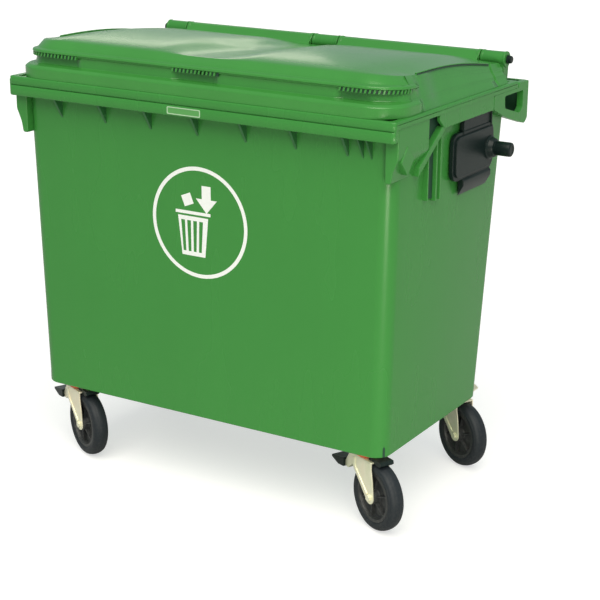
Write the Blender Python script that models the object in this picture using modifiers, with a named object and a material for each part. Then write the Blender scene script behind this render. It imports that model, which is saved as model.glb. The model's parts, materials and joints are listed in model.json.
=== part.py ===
"""A four-wheel waste container: a tapered tub with a deep rim, a domed lid on a rear hinge rod,
two side trunnions for a lifting arm, two rear hand loops and four swivel castors, the front two
with a foot brake.  Metres, +Z up, the front towards -Y, standing on the floor at z = 0."""
import math

import bmesh
import bpy
from mathutils import Matrix, Vector

COLLECTION = "waste_container"

GAP = 0.0003                    # between pieces that touch
BORE_GAP = 0.0003               # between a pin and its bore

# Tub: outer wall at its lower edge and at the rim, given as half width, front y and rear y
WALL = 0.006
BASE_Z = 0.226
BASE_SIZE = (0.592, -0.3625, 0.2435)
NECK_Z = 1.164
NECK_SIZE = (0.612, -0.3720, 0.3270)
WALL_RADIUS = 0.045
SKIRT = 0.008                   # wall of the skirt under the floor
FLOOR_UNDER = 0.2356
FLOOR_TOP = 0.2436

# Rim: a hanging flange all round, deep at the front and shallow at the sides and rear
RIM_SIZE = (0.633, -0.4115, 0.3450)
RIM_RADIUS = 0.012
RIM_WALL = 0.006
RIM_TOP = 1.170
RIM_BAND = 1.145                # the lower front band stands proud below this height
RIM_PROUD = 0.002
RIM_FRONT_BOTTOM = 1.115
RIM_SIDE_BOTTOM = 1.150

GUSSET_PITCH = 0.158
GUSSET_THICK = 0.005
GUSSET_TIP = 1.060

# Side flange that the trunnion and the hand loop hang from, and the corner buttress before it
FLANGE_FRONT = -0.1585
FLANGE_REAR = 0.1795
FLANGE_BOTTOM = 1.110
FLANGE_SLANT = 0.030
BUTTRESS_FRONT = -0.3875
BUTTRESS_REAR = -0.215
STRUT_WIDTH = 0.025

# Hand loop at each rear corner
HANDLE_REAR = 0.4150
HANDLE_INNER = 0.6130
HANDLE_WING = 0.560             # the rear wing reaches in to here

# Hinge
HINGE_Y = 0.3325
HINGE_Z = 1.230
BARREL_RADIUS = 0.023
ROD_RADIUS = 0.007
EAR_INNER = 0.520
EAR_OUTER = 0.598
ROD_HALF = 0.6125
CAP_RADIUS = 0.0125
KNUCKLE = (-0.048, 0.040)       # the tub's middle knuckle, from x to x
EAR_SPANS = ((-EAR_OUTER, -EAR_INNER), KNUCKLE, (EAR_INNER, EAR_OUTER))
LID_BARRELS = ((-0.517, -0.051), (0.043, 0.517))

# Lid: its lower edge stands on the rim
LID_WALL = 0.005
LID_BOTTOM = RIM_TOP + GAP
LID_REAR = 0.302
LID_RADIUS = 0.095
LID_REAR_RADIUS = 0.020
CROWN_HEIGHT = 0.003            # the whole top swells this much
PILLOW_HEIGHT = 0.025           # and each of two soft pillows this much more
PILLOW_INNER = (0.020, 0.170)   # where a pillow rises, from the middle outwards
PILLOW_OUTER = (0.480, 0.590)   # and where it falls
# half width, front y, height at the front edge, height at the rear edge
LID_STEPS = (
    (0.625, -0.4055, LID_BOTTOM, LID_BOTTOM),
    (0.625, -0.4055, 1.1980, 1.1850),
    (0.618, -0.3980, 1.2060, 1.1900),
    (0.611, -0.3775, 1.2085, 1.1930),
    (0.607, -0.3755, 1.2390, 1.2020),
    (0.613, -0.3850, 1.2420, 1.2050),
    (0.611, -0.3840, 1.2490, 1.2090),
    (0.605, -0.3720, 1.2520, 1.2120),
    (0.592, -0.3575, 1.2720, 1.2230),
)
DOME_RINGS = (0.92, 0.76, 0.52, 0.24)

# Trunnion
TRUNNION_Y = 0.163
TRUNNION_Z = 1.007
TRUNNION_END = 0.700
PIN_RADIUS = 0.0205
COLLAR_RADIUS = 0.034
COLLAR_THICK = 0.008
BRACKET_INNER = 0.6135
BRACKET_PLATE = (-0.0600, 0.1960, 0.9400, 1.0800)   # low y, high y, low z, high z
BRACKET_PLATE_OUTER = 0.622
BRACKET_PLATE_RADIUS = 0.030
SPINE_Y = (0.0000, 0.1780)
SPINE_OUTER = 0.632
SPINE_TOP = FLANGE_BOTTOM - 0.0015
SPINE_FOOT = (0.930, 0.895)

# Castors
CASTOR_X = 0.511
CASTOR_FRONT = -0.2975
CASTOR_REAR = 0.2375
TRAIL = 0.055
CASTOR_TURN = math.radians(-26.4)
WHEEL_RADIUS = 0.100
TYRE_HALF = 0.024
TYRE_INNER = 0.0743
HUB_HALF = 0.0265
BUSH_RADIUS = 0.008
AXLE_RADIUS = 0.005
LEG_INNER = 0.0275
LEG_THICK = 0.004
CROWN_UNDER = 0.2015
CROWN_TOP = 0.2065
RING_TOP = 0.2150
PLATE_UNDER = 0.2313
PLATE_TOP = FLOOR_UNDER - GAP
PLATE_LENGTH = 0.135
PLATE_WIDTH = 0.105
PLATE_CORNER = 0.018
KINGPIN_RADIUS = 0.006
KINGPIN_HEAD = 0.011
HEAD_THICK = 0.003
PEDAL_PIVOT = (-0.098, 0.2050)  # along the trail and up, from the axle's plan position

DRAIN_RADIUS = 0.025

CORNER_STEPS = 4

PARTS = None
CUTTERS = None
MATERIALS = {}


# ---------------------------------------------------------------- scene and materials
def clear_scene():
    for obj in list(bpy.data.objects):
        bpy.data.objects.remove(obj, do_unlink=True)


def make_collections():
    global PARTS, CUTTERS
    PARTS = bpy.data.collections.new(COLLECTION)
    CUTTERS = bpy.data.collections.new("cutters")
    for collection in (PARTS, CUTTERS):
        bpy.context.scene.collection.children.link(collection)


def material(name, colour, roughness, metallic=0.0):
    if name not in MATERIALS:
        made = bpy.data.materials.new(name)
        made.use_nodes = True
        shader = made.node_tree.nodes["Principled BSDF"]
        shader.inputs["Base Color"].default_value = (*colour, 1.0)
        shader.inputs["Roughness"].default_value = roughness
        shader.inputs["Metallic"].default_value = metallic
        MATERIALS[name] = made
    return MATERIALS[name]


def green():
    return material("green_polyethylene", (0.05, 0.30, 0.07), 0.35)


def black_plastic():
    return material("black_plastic", (0.02, 0.025, 0.027), 0.45)


def rubber():
    return material("black_rubber", (0.03, 0.035, 0.04), 0.60)


def zinc():
    return material("yellow_zinc", (0.62, 0.58, 0.32), 0.30, 1.0)


def steel():
    return material("galvanised_steel", (0.60, 0.61, 0.62), 0.35, 1.0)


# ---------------------------------------------------------------- mesh helpers
def add_object(name, mesh, surface, collection=None):
    obj = bpy.data.objects.new(name, mesh)
    (collection or PARTS).objects.link(obj)
    if surface:
        mesh.materials.append(surface)
    return obj


def mesh_from(name, bm):
    bmesh.ops.recalc_face_normals(bm, faces=bm.faces)
    mesh = bpy.data.meshes.new(name)
    bm.to_mesh(mesh)
    bm.free()
    return mesh


def smooth(obj, degrees=35):
    obj.data.shade_smooth()
    obj.data.set_sharp_from_angle(angle=math.radians(degrees))
    return obj


def add_box(bm, low, high):
    made = bmesh.ops.create_cube(bm, size=1.0)
    size = [b - a for a, b in zip(low, high)]
    centre = [(a + b) / 2 for a, b in zip(low, high)]
    bmesh.ops.scale(bm, vec=size, verts=made["verts"])
    bmesh.ops.translate(bm, vec=centre, verts=made["verts"])


def add_prism(bm, outline, axis, low, high):
    """Extrude a flat outline along an axis; the outline gives the two other axes in order."""
    def place(pair, along):
        point = list(pair)
        point.insert("xyz".index(axis), along)
        return point
    face = bm.faces.new([bm.verts.new(place(pair, low)) for pair in outline])
    grown = bmesh.ops.extrude_face_region(bm, geom=[face])
    moved = [item for item in grown["geom"] if isinstance(item, bmesh.types.BMVert)]
    bmesh.ops.translate(bm, vec=Vector(place((0, 0), high - low)), verts=moved)


def add_cylinder(bm, radius, centre, axis, length, segments=24):
    made = bmesh.ops.create_cone(bm, cap_ends=True, segments=segments,
                                 radius1=radius, radius2=radius, depth=length)
    turn = {"x": Matrix.Rotation(math.pi / 2, 3, "Y"),
            "y": Matrix.Rotation(math.pi / 2, 3, "X"),
            "z": Matrix.Identity(3)}[axis]
    bmesh.ops.rotate(bm, cent=(0, 0, 0), matrix=turn, verts=made["verts"])
    bmesh.ops.translate(bm, vec=centre, verts=made["verts"])


def boolean(obj, operation, name, bm, solver="EXACT"):
    """Join or cut obj with the shapes in bm, which stay as a hidden operand."""
    operand = add_object(name, mesh_from(name, bm), None, CUTTERS)
    operand.hide_render = True
    operand.display_type = "WIRE"
    modifier = obj.modifiers.new(name, "BOOLEAN")
    modifier.operation = operation
    modifier.solver = solver
    modifier.object = operand
    return operand


def turned(name, profile, surface, steps=24, ring=False):
    """Turn a profile of (radius, height) pairs about Z, listed down its outer side."""
    mesh = bpy.data.meshes.new(name)
    count = len(profile)
    edges = [(i, i + 1) for i in range(count - 1)]
    if ring:
        edges.append((count - 1, 0))
    mesh.from_pydata([(radius, 0, height) for radius, height in profile], edges, [])
    obj = add_object(name, mesh, surface)
    screw = obj.modifiers.new("turn", "SCREW")
    screw.axis = "Z"
    screw.steps = steps
    screw.render_steps = steps
    screw.use_merge_vertices = True
    screw.merge_threshold = 0.00005
    screw.use_smooth_shade = True
    return obj


def rounded_ring(half, front, rear, front_radius, rear_radius, runs=(1, 1)):
    """Plan outline, anticlockwise from the front left corner, with even counts for lofting.
    runs gives the number of pieces in the long and the short straight runs."""
    corners = (
        (half - rear_radius, rear - rear_radius, rear_radius, 0.0),
        (-(half - rear_radius), rear - rear_radius, rear_radius, 90.0),
        (-(half - front_radius), front + front_radius, front_radius, 180.0),
        (half - front_radius, front + front_radius, front_radius, 270.0),
    )
    points = []
    for cx, cy, radius, start in corners:
        arc = []
        for step in range(CORNER_STEPS + 1):
            angle = math.radians(start + 90.0 * step / CORNER_STEPS)
            arc.append((cx + radius * math.cos(angle), cy + radius * math.sin(angle)))
        points.append(arc)
    outline = []
    for index, arc in enumerate(points):
        outline.extend(arc)
        following = points[(index + 1) % 4][0]
        pieces = runs[index % 2]
        for step in range(1, pieces):
            share = step / pieces
            outline.append((arc[-1][0] + (following[0] - arc[-1][0]) * share,
                            arc[-1][1] + (following[1] - arc[-1][1]) * share))
    return outline


def loft(bm, rings, fan_ends=False):
    """Skin a list of rings of (x, y, z) points; the end rings are capped or meet at a point."""
    rows = [[bm.verts.new(point) for point in ring] for ring in rings]
    for lower, upper in zip(rows, rows[1:]):
        count = len(lower)
        for index in range(count):
            after = (index + 1) % count
            bm.faces.new((lower[index], lower[after], upper[after], upper[index]))
    for row in (rows[0], rows[-1]):
        if fan_ends:
            middle = sum((vert.co for vert in row), Vector()) / len(row)
            centre = bm.verts.new(middle)
            for index, vert in enumerate(row):
                bm.faces.new((vert, row[(index + 1) % len(row)], centre))
        else:
            bm.faces.new(row)


# ---------------------------------------------------------------- tub
def wall_at(z, inset=0.0):
    """Half width, front y and rear y of the tub's wall at a height, moved in by inset."""
    share = (z - BASE_Z) / (NECK_Z - BASE_Z)
    half, front, rear = (low + (high - low) * share for low, high in zip(BASE_SIZE, NECK_SIZE))
    return half - inset, front + inset, rear - inset


def wall_ring(z, inset=0.0):
    outline = rounded_ring(*wall_at(z, inset), WALL_RADIUS - inset, WALL_RADIUS - inset)
    return [(x, y, z) for x, y in outline]


def rim_ring(inset, front_z, side_z, proud=0.0):
    """A ring of the rim: front_z along the front run, side_z along the sides and the rear."""
    half, front, rear = RIM_SIZE
    radius = RIM_RADIUS - inset
    outline = rounded_ring(half - inset, front + inset - proud, rear - inset, radius, radius)
    edge = front + RIM_RADIUS - proud
    return [(x, y, front_z if y < edge - 0.0001 else side_z) for x, y in outline]


def make_tub():
    bm = bmesh.new()
    loft(bm, [
        wall_ring(FLOOR_UNDER, SKIRT),
        wall_ring(BASE_Z, SKIRT),
        wall_ring(BASE_Z),
        wall_ring(NECK_Z),
        rim_ring(RIM_WALL, NECK_Z, NECK_Z),
        rim_ring(RIM_WALL, RIM_FRONT_BOTTOM, RIM_SIDE_BOTTOM),
        rim_ring(0.0, RIM_FRONT_BOTTOM, RIM_SIDE_BOTTOM, RIM_PROUD),
        rim_ring(0.0, RIM_BAND, RIM_SIDE_BOTTOM + 0.001, RIM_PROUD),
        rim_ring(0.0, RIM_BAND + 0.002, RIM_SIDE_BOTTOM + 0.003),
        rim_ring(0.0, RIM_TOP - 0.003, RIM_TOP - 0.003),
        rim_ring(0.003, RIM_TOP, RIM_TOP),
    ])
    tub = smooth(add_object("tub", mesh_from("tub", bm), green()))
    boolean(tub, "UNION", "gussets", gusset_shapes(), "MANIFOLD")
    boolean(tub, "UNION", "side_frames", side_frame_shapes(), "MANIFOLD")
    boolean(tub, "UNION", "side_struts", strut_shapes(), "MANIFOLD")
    boolean(tub, "UNION", "castor_ledges", ledge_shapes(), "MANIFOLD")
    boolean(tub, "UNION", "hinge_ears", ear_shapes(), "MANIFOLD")
    boolean(tub, "UNION", "hinge_knuckles", knuckle_shapes(), "MANIFOLD")
    boolean(tub, "DIFFERENCE", "tub_inside", inside_shape(), "MANIFOLD")
    boolean(tub, "DIFFERENCE", "skirt_notches", skirt_notch_shapes(), "MANIFOLD")
    boolean(tub, "DIFFERENCE", "hinge_and_drain_bores", tub_bore_shapes(), "MANIFOLD")
    return tub


def gusset_shapes():
    """Seven thin triangles that hold the front flange out from the wall."""
    bm = bmesh.new()
    root_low = wall_at(GUSSET_TIP)[1] + WALL / 2
    root_high = wall_at(NECK_Z)[1] + WALL / 2
    flange = RIM_SIZE[1] + RIM_WALL / 2
    outline = [(root_low, GUSSET_TIP), (flange, RIM_FRONT_BOTTOM + 0.004),
               (flange, NECK_Z + 0.003), (root_high, NECK_Z + 0.003)]
    for index in range(-3, 4):
        x = index * GUSSET_PITCH
        add_prism(bm, outline, "x", x - GUSSET_THICK / 2, x + GUSSET_THICK / 2)
    return bm


def side_frame_shapes():
    """The corner buttress under each end of the front rim, and the flange behind it."""
    bm = bmesh.new()
    half = RIM_SIZE[0]
    top = NECK_Z + 0.003
    for side in (-1, 1):
        buttress = [(0.590, top), (half - 0.002, top), (half - 0.002, 1.070),
                    (0.614, 1.035), (0.609, 1.000), (0.590, 1.000)]
        add_prism(bm, [(side * x, z) for x, z in buttress], "y", BUTTRESS_FRONT, BUTTRESS_REAR)
        flange = [(FLANGE_FRONT, top), (FLANGE_FRONT, FLANGE_BOTTOM + 0.025),
                  (FLANGE_FRONT + FLANGE_SLANT, FLANGE_BOTTOM), (FLANGE_REAR, FLANGE_BOTTOM),
                  (FLANGE_REAR, top)]
        low, high = sorted((side * (half - 0.0115), side * (half - 0.0015)))
        add_prism(bm, flange, "x", low, high)
    return bm


def strut_shapes():
    """A slanting rib on each side from the buttress foot up to the flange."""
    bm = bmesh.new()
    foot = (BUTTRESS_REAR - 0.045, 1.006)
    head = (FLANGE_FRONT + FLANGE_SLANT + 0.006, FLANGE_BOTTOM + 0.004)
    outline = [foot, (foot[0] + 0.002, foot[1] + STRUT_WIDTH),
               (head[0] - STRUT_WIDTH * 0.8, head[1]), (head[0] + 0.012, head[1])]
    for side in (-1, 1):
        low, high = sorted((side * 0.6045, side * 0.6290))
        add_prism(bm, outline, "x", low, high)
    return bm


def ledge_shapes():
    """Moulded pads that carry the rear castors a little way out behind the rear wall."""
    bm = bmesh.new()
    rear = CASTOR_REAR + PLATE_WIDTH / 2 + 0.006
    inner = CASTOR_X - PLATE_LENGTH / 2 - 0.006
    outer = CASTOR_X + 0.040
    top = FLOOR_TOP + 0.030
    for side in (-1, 1):
        plan = [(side * inner, 0.2405), (side * outer, 0.2405), (side * outer, rear - 0.020),
                (side * (outer - 0.020), rear), (side * inner, rear)]
        add_prism(bm, plan, "z", FLOOR_UNDER + 0.0004, top)
    return bm


def skirt_notch_shapes():
    """Openings in the rear skirt that the rear castor plates pass through."""
    bm = bmesh.new()
    for side in (-1, 1):
        low, high = sorted((side * (CASTOR_X - PLATE_LENGTH / 2 - 0.006), side * 0.5815))
        add_box(bm, (low, 0.204, BASE_Z - 0.01), (high, 0.310, FLOOR_UNDER + 0.0002))
    return bm


def ear_shapes():
    """Posts that rise from the rear rim to the hinge axis: one at each end, one in the middle."""
    bm = bmesh.new()
    for low, high in EAR_SPANS:
        outline = [(HINGE_Y - 0.012, RIM_TOP - 0.004), (HINGE_Y + 0.012, RIM_TOP - 0.004),
                   (HINGE_Y + 0.016, HINGE_Z), (HINGE_Y - 0.016, HINGE_Z)]
        add_prism(bm, outline, "x", low + 0.001, high - 0.001)
    return bm


def knuckle_shapes():
    bm = bmesh.new()
    for low, high in EAR_SPANS:
        add_cylinder(bm, BARREL_RADIUS, ((low + high) / 2, HINGE_Y, HINGE_Z), "x", high - low)
    return bm


def inside_shape():
    bm = bmesh.new()
    loft(bm, [wall_ring(FLOOR_TOP, WALL), wall_ring(RIM_TOP + 0.004, WALL)])
    return bm


def tub_bore_shapes():
    bm = bmesh.new()
    add_cylinder(bm, ROD_RADIUS + BORE_GAP, (0, HINGE_Y, HINGE_Z), "x", 1.3, 20)
    add_cylinder(bm, DRAIN_RADIUS + BORE_GAP, (0, 0, FLOOR_UNDER), "z", 0.06)
    return bm


# ---------------------------------------------------------------- pieces fixed to the tub
def make_handles():
    """A hand loop behind each flange: a plate with an opening, and a wing that turns inwards."""
    outer = [(FLANGE_REAR + GAP, RIM_SIDE_BOTTOM - GAP), (FLANGE_REAR + GAP, FLANGE_BOTTOM),
             (0.2725, 1.071), (0.3960, 1.036), (HANDLE_REAR, 1.050), (HANDLE_REAR, 1.163),
             (RIM_SIZE[2] + GAP, 1.163), (RIM_SIZE[2] + GAP, RIM_SIDE_BOTTOM - GAP)]
    opening = [(0.2495, 1.140), (0.2545, 1.103), (0.3560, 1.074), (0.3800, 1.086),
               (0.3800, 1.140)]
    for side, label in ((-1, "left"), (1, "right")):
        name = "rear_handle_" + label
        low, high = sorted((side * HANDLE_INNER, side * (RIM_SIZE[0] - 0.0005)))
        bm = bmesh.new()
        add_prism(bm, outer, "x", low, high)
        handle = add_object(name, mesh_from(name, bm), green())
        bm = bmesh.new()
        add_prism(bm, opening, "x", low - 0.01, high + 0.01)
        boolean(handle, "DIFFERENCE", name + "_opening", bm)
        low, high = sorted((side * HANDLE_WING, side * (HANDLE_INNER + 0.005)))
        bm = bmesh.new()
        add_box(bm, (low, HANDLE_REAR - 0.0115, 1.0565), (high, HANDLE_REAR - 0.0005, 1.1625))
        boolean(handle, "UNION", name + "_wing", bm)


def make_trunnions():
    """Bracket with a base plate and a wedge-footed spine, and the pin that a lifting arm holds."""
    for side, label in ((-1, "left"), (1, "right")):
        name = "trunnion_bracket_" + label
        bm = bmesh.new()
        low, high = sorted((side * BRACKET_INNER, side * BRACKET_PLATE_OUTER))
        add_prism(bm, bracket_outline(), "x", low, high)
        bracket = add_object(name, mesh_from(name, bm), black_plastic())
        inner = BRACKET_INNER + 0.0005
        spine = [(inner, SPINE_TOP), (SPINE_OUTER, SPINE_TOP), (SPINE_OUTER, SPINE_FOOT[0]),
                 (inner, SPINE_FOOT[1])]
        bm = bmesh.new()
        add_prism(bm, [(side * x, z) for x, z in spine], "y", *SPINE_Y)
        boolean(bracket, "UNION", name + "_spine", bm)

        length = TRUNNION_END - SPINE_OUTER
        profile = [(0, length), (PIN_RADIUS - 0.002, length), (PIN_RADIUS, length - 0.003),
                   (PIN_RADIUS, COLLAR_THICK + 0.004), (COLLAR_RADIUS - 0.006, COLLAR_THICK),
                   (COLLAR_RADIUS, COLLAR_THICK - 0.002), (COLLAR_RADIUS, GAP), (0, GAP)]
        pin = turned("trunnion_pin_" + label, profile, black_plastic(), 20)
        pin.location = (side * SPINE_OUTER, TRUNNION_Y, TRUNNION_Z)
        pin.rotation_euler = (0, side * math.pi / 2, 0)


def bracket_outline():
    """Rounded base plate of the trunnion bracket, in y and z."""
    low_y, high_y, low_z, high_z = BRACKET_PLATE
    radius = BRACKET_PLATE_RADIUS
    centres = ((high_y - radius, high_z - radius, 0), (low_y + radius, high_z - radius, 90),
               (low_y + radius, low_z + radius, 180), (high_y - radius, low_z + radius, 270))
    outline = []
    for y, z, start in centres:
        for step in range(4):
            angle = math.radians(start + 30 * step)
            outline.append((y + radius * math.cos(angle), z + radius * math.sin(angle)))
    return outline


def make_hinge_rod():
    half = EAR_OUTER + 0.0005
    profile = [(0, half), (ROD_RADIUS, half), (ROD_RADIUS, -half), (0, -half)]
    rod = turned("hinge_rod", profile, steel(), 16)
    rod.location = (0, HINGE_Y, HINGE_Z)
    rod.rotation_euler = (0, math.pi / 2, 0)
    for side, label in ((-1, "left"), (1, "right")):
        length = ROD_HALF - EAR_OUTER - 0.001
        profile = [(0, length), (CAP_RADIUS - 0.0015, length), (CAP_RADIUS, length - 0.0015),
                   (CAP_RADIUS, 0), (0, 0)]
        cap = turned("hinge_cap_" + label, profile, black_plastic(), 16)
        cap.location = (side * (EAR_OUTER + 0.001), HINGE_Y, HINGE_Z)
        cap.rotation_euler = (0, side * math.pi / 2, 0)


def make_label_plate():
    bm = bmesh.new()
    front = RIM_SIZE[1] - RIM_PROUD - GAP
    add_box(bm, (-0.070, front - 0.0012, 1.1195), (0.040, front, 1.1405))
    add_object("label_plate", mesh_from("label_plate", bm), green())


def make_drain():
    """A screw plug in the floor with a sealing ring under its flange."""
    bottom = FLOOR_UNDER - 0.012
    profile = [(0, FLOOR_TOP), (DRAIN_RADIUS, FLOOR_TOP), (DRAIN_RADIUS, FLOOR_UNDER - 0.0035),
               (0.034, FLOOR_UNDER - 0.0035), (0.034, bottom), (0, bottom)]
    turned("drain_plug", profile, black_plastic(), 24)
    profile = [(DRAIN_RADIUS + GAP, FLOOR_UNDER - GAP), (0.033, FLOOR_UNDER - GAP),
               (0.033, FLOOR_UNDER - 0.0035 + GAP), (DRAIN_RADIUS + GAP, FLOOR_UNDER - 0.0035 + GAP)]
    turned("drain_gasket", profile, rubber(), 24, ring=True)


# ---------------------------------------------------------------- lid
def ease(value, low, high):
    """Smooth step from 0 at low to 1 at high."""
    share = min(max((value - low) / (high - low), 0.0), 1.0)
    return share * share * (3 - 2 * share)


def swell(x, y, front, rear):
    """Height of the crown and the two pillows above the lid's top edge."""
    depth = min(max((y - front) / (rear - front), 0.0), 1.0)
    along = math.sin(math.pi * depth) ** 0.6
    side = 1.0 - ease(abs(x), *PILLOW_OUTER)
    pillow = ease(abs(x), *PILLOW_INNER) * side
    return along * (CROWN_HEIGHT * side + PILLOW_HEIGHT * pillow)


def lid_ring(half, front, front_z, rear_z, wall=0.0, scale=1.0):
    """A ring of the lid, moved in by wall; a scale below 1 lies on the domes."""
    outline = rounded_ring(half - wall, front + wall, LID_REAR - wall,
                           LID_RADIUS - wall, LID_REAR_RADIUS - wall, (8, 4))
    middle = (front + LID_REAR) / 2
    ring = []
    for x, y in outline:
        x, y = x * scale, middle + (y - middle) * scale
        depth = (y - front) / (LID_REAR - front)
        z = front_z + (rear_z - front_z) * depth
        if scale < 1.0:
            z += swell(x, y, front, LID_REAR)
        ring.append((x, y, z))
    return ring


def make_lid():
    outer = [lid_ring(*step) for step in LID_STEPS]
    top = LID_STEPS[-1]
    outer += [lid_ring(*top, scale=scale) for scale in DOME_RINGS]
    inner = []
    for half, front, front_z, rear_z in LID_STEPS:
        drop = 0.0 if front_z == LID_BOTTOM else LID_WALL * 0.8
        inner.append(lid_ring(half, front, front_z - drop, rear_z - drop, LID_WALL))
    half, front, front_z, rear_z = top
    for scale in DOME_RINGS:
        inner.append(lid_ring(half, front, front_z - LID_WALL, rear_z - LID_WALL, scale=scale))
    bm = bmesh.new()
    loft(bm, list(reversed(outer)) + inner, fan_ends=True)
    lid = smooth(add_object("lid", mesh_from("lid", bm), green()))
    shift_origin(lid, Vector((0, HINGE_Y, HINGE_Z)))

    bm = bmesh.new()
    for low, high in LID_BARRELS:
        add_cylinder(bm, BARREL_RADIUS, ((low + high) / 2, HINGE_Y, HINGE_Z), "x", high - low)
    boolean(lid, "UNION", "lid_barrels", bm)
    bm = bmesh.new()
    for low, high in LID_BARRELS:
        outline = [(LID_REAR - 0.0025, 1.187), (LID_REAR + 0.001, 1.187),
                   (HINGE_Y - 0.002, HINGE_Z - 0.0215),
                   (HINGE_Y - 0.004, HINGE_Z + 0.0215), (LID_REAR - 0.0025, 1.221)]
        add_prism(bm, outline, "x", low + 0.0005, high - 0.0005)
    boolean(lid, "UNION", "lid_hinge_webs", bm)
    bm = bmesh.new()
    add_cylinder(bm, ROD_RADIUS + BORE_GAP, (0, HINGE_Y, HINGE_Z), "x", 1.3, 20)
    boolean(lid, "DIFFERENCE", "lid_rod_bore", bm)
    return lid


def shift_origin(obj, origin):
    """Move an object's origin to a world point, leaving its shape where it is."""
    obj.data.transform(Matrix.Translation(-origin))
    obj.location = origin


# ---------------------------------------------------------------- castors
def make_castor(label, x, y, braked):
    """One swivel castor.  Its own frame has +X along the trail and +Y along the axle."""
    swivel = bpy.data.objects.new("swivel_" + label, None)
    swivel.location = (x, y, 0)
    swivel.rotation_euler = (0, 0, CASTOR_TURN)
    PARTS.objects.link(swivel)
    make_top_plate(label, x, y)
    make_fork(label, swivel)
    make_axle(label, swivel)
    make_wheel(label, swivel)
    if braked:
        make_brake(label, swivel)


def make_top_plate(label, x, y):
    name = "castor_plate_" + label
    length, width = PLATE_LENGTH / 2, PLATE_WIDTH / 2
    corner = PLATE_CORNER
    plan = [(length, width - corner), (length - corner, width),
            (corner - length, width), (-length, width - corner),
            (-length, corner - width), (corner - length, -width),
            (length - corner, -width), (length, corner - width)]
    bm = bmesh.new()
    add_prism(bm, [(x + u, y + v) for u, v in plan], "z", PLATE_UNDER, PLATE_TOP)
    plate = add_object(name, mesh_from(name, bm), zinc())
    bm = bmesh.new()
    add_cylinder(bm, 0.030, (x, y, (RING_TOP + GAP + PLATE_TOP - 0.002) / 2), "z",
                 PLATE_TOP - 0.002 - RING_TOP - GAP, 20)
    boolean(plate, "UNION", name + "_race", bm)
    bm = bmesh.new()
    add_cylinder(bm, KINGPIN_RADIUS + BORE_GAP, (x, y, 0.22), "z", 0.08, 12)
    boolean(plate, "DIFFERENCE", name + "_bore", bm)

    profile = [(0, PLATE_TOP - GAP), (KINGPIN_RADIUS, PLATE_TOP - GAP),
               (KINGPIN_RADIUS, CROWN_UNDER + GAP + HEAD_THICK),
               (KINGPIN_HEAD, CROWN_UNDER + GAP + HEAD_THICK),
               (KINGPIN_HEAD, CROWN_UNDER + GAP), (0, CROWN_UNDER + GAP)]
    turned("kingpin_" + label, profile, steel(), 12).location = (x, y, 0)

    profile = [(0.018, RING_TOP), (0.030, RING_TOP), (0.033, RING_TOP - 0.003),
               (0.033, CROWN_TOP + GAP), (0.018, CROWN_TOP + GAP)]
    surface = material("orange_seal", (0.60, 0.10, 0.03), 0.50)
    turned("dust_ring_" + label, profile, surface, 20, ring=True).location = (x, y, 0)


def leg_outline():
    """Side view of a fork leg: a wide head under the crown and a round foot at the axle."""
    foot = 0.018
    outline = [(TRAIL - 0.084, CROWN_TOP), (TRAIL - 0.084, 0.166)]
    for step in range(7):
        angle = math.radians(210 + 25 * step)
        outline.append((TRAIL + foot * math.cos(angle), WHEEL_RADIUS + foot * math.sin(angle)))
    outline.append((TRAIL + 0.006, CROWN_TOP))
    return outline


def make_fork(label, swivel):
    name = "castor_fork_" + label
    outer = LEG_INNER + LEG_THICK
    bm = bmesh.new()
    add_box(bm, (TRAIL - 0.0841, -outer + 0.0005, CROWN_UNDER),
            (TRAIL + 0.0058, outer - 0.0005, CROWN_TOP))
    fork = add_object(name, mesh_from(name, bm), zinc())
    fork.parent = swivel
    operands = []
    bm = bmesh.new()
    for side in (-1, 1):
        low, high = sorted((side * LEG_INNER, side * outer))
        add_prism(bm, leg_outline(), "y", low, high)
    operands.append(boolean(fork, "UNION", name + "_legs", bm))
    bm = bmesh.new()
    add_cylinder(bm, KINGPIN_RADIUS + BORE_GAP, (0, 0, CROWN_TOP), "z", 0.03, 12)
    operands.append(boolean(fork, "DIFFERENCE", name + "_king_bore", bm))
    bm = bmesh.new()
    add_cylinder(bm, KINGPIN_HEAD + BORE_GAP, (0, 0, CROWN_UNDER), "z",
                 2 * (HEAD_THICK + 2 * GAP), 12)
    operands.append(boolean(fork, "DIFFERENCE", name + "_king_seat", bm))
    bm = bmesh.new()
    add_cylinder(bm, AXLE_RADIUS + BORE_GAP, (TRAIL, 0, WHEEL_RADIUS), "y", 0.1, 12)
    operands.append(boolean(fork, "DIFFERENCE", name + "_axle_bore", bm))
    for operand in operands:
        operand.parent = swivel


def lay_on_axle(obj, swivel, turn=1):
    obj.parent = swivel
    obj.location = (TRAIL, 0, WHEEL_RADIUS)
    obj.rotation_euler = (turn * math.pi / 2, 0, 0)


def make_axle(label, swivel):
    """A hex bolt through both legs, its head on the outer leg, with a nut on the inner one."""
    outer = LEG_INNER + LEG_THICK + GAP
    name = "axle_bolt_" + label
    bm = bmesh.new()
    add_cylinder(bm, 0.0095, (0, 0, outer + 0.003), "z", 0.006, 6)
    bolt = add_object(name, mesh_from(name, bm), zinc())
    lay_on_axle(bolt, swivel)
    bm = bmesh.new()
    add_cylinder(bm, AXLE_RADIUS, (0, 0, -0.002), "z", 2 * outer + 0.008, 12)
    lay_on_axle(boolean(bolt, "UNION", name + "_shank", bm), swivel)

    name = "axle_nut_" + label
    bm = bmesh.new()
    add_cylinder(bm, 0.0095, (0, 0, outer + 0.0025), "z", 0.005, 6)
    nut = add_object(name, mesh_from(name, bm), zinc())
    lay_on_axle(nut, swivel, -1)
    bm = bmesh.new()
    add_cylinder(bm, AXLE_RADIUS + BORE_GAP, (0, 0, outer), "z", 0.02, 12)
    lay_on_axle(boolean(nut, "DIFFERENCE", name + "_bore", bm), swivel, -1)


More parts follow.
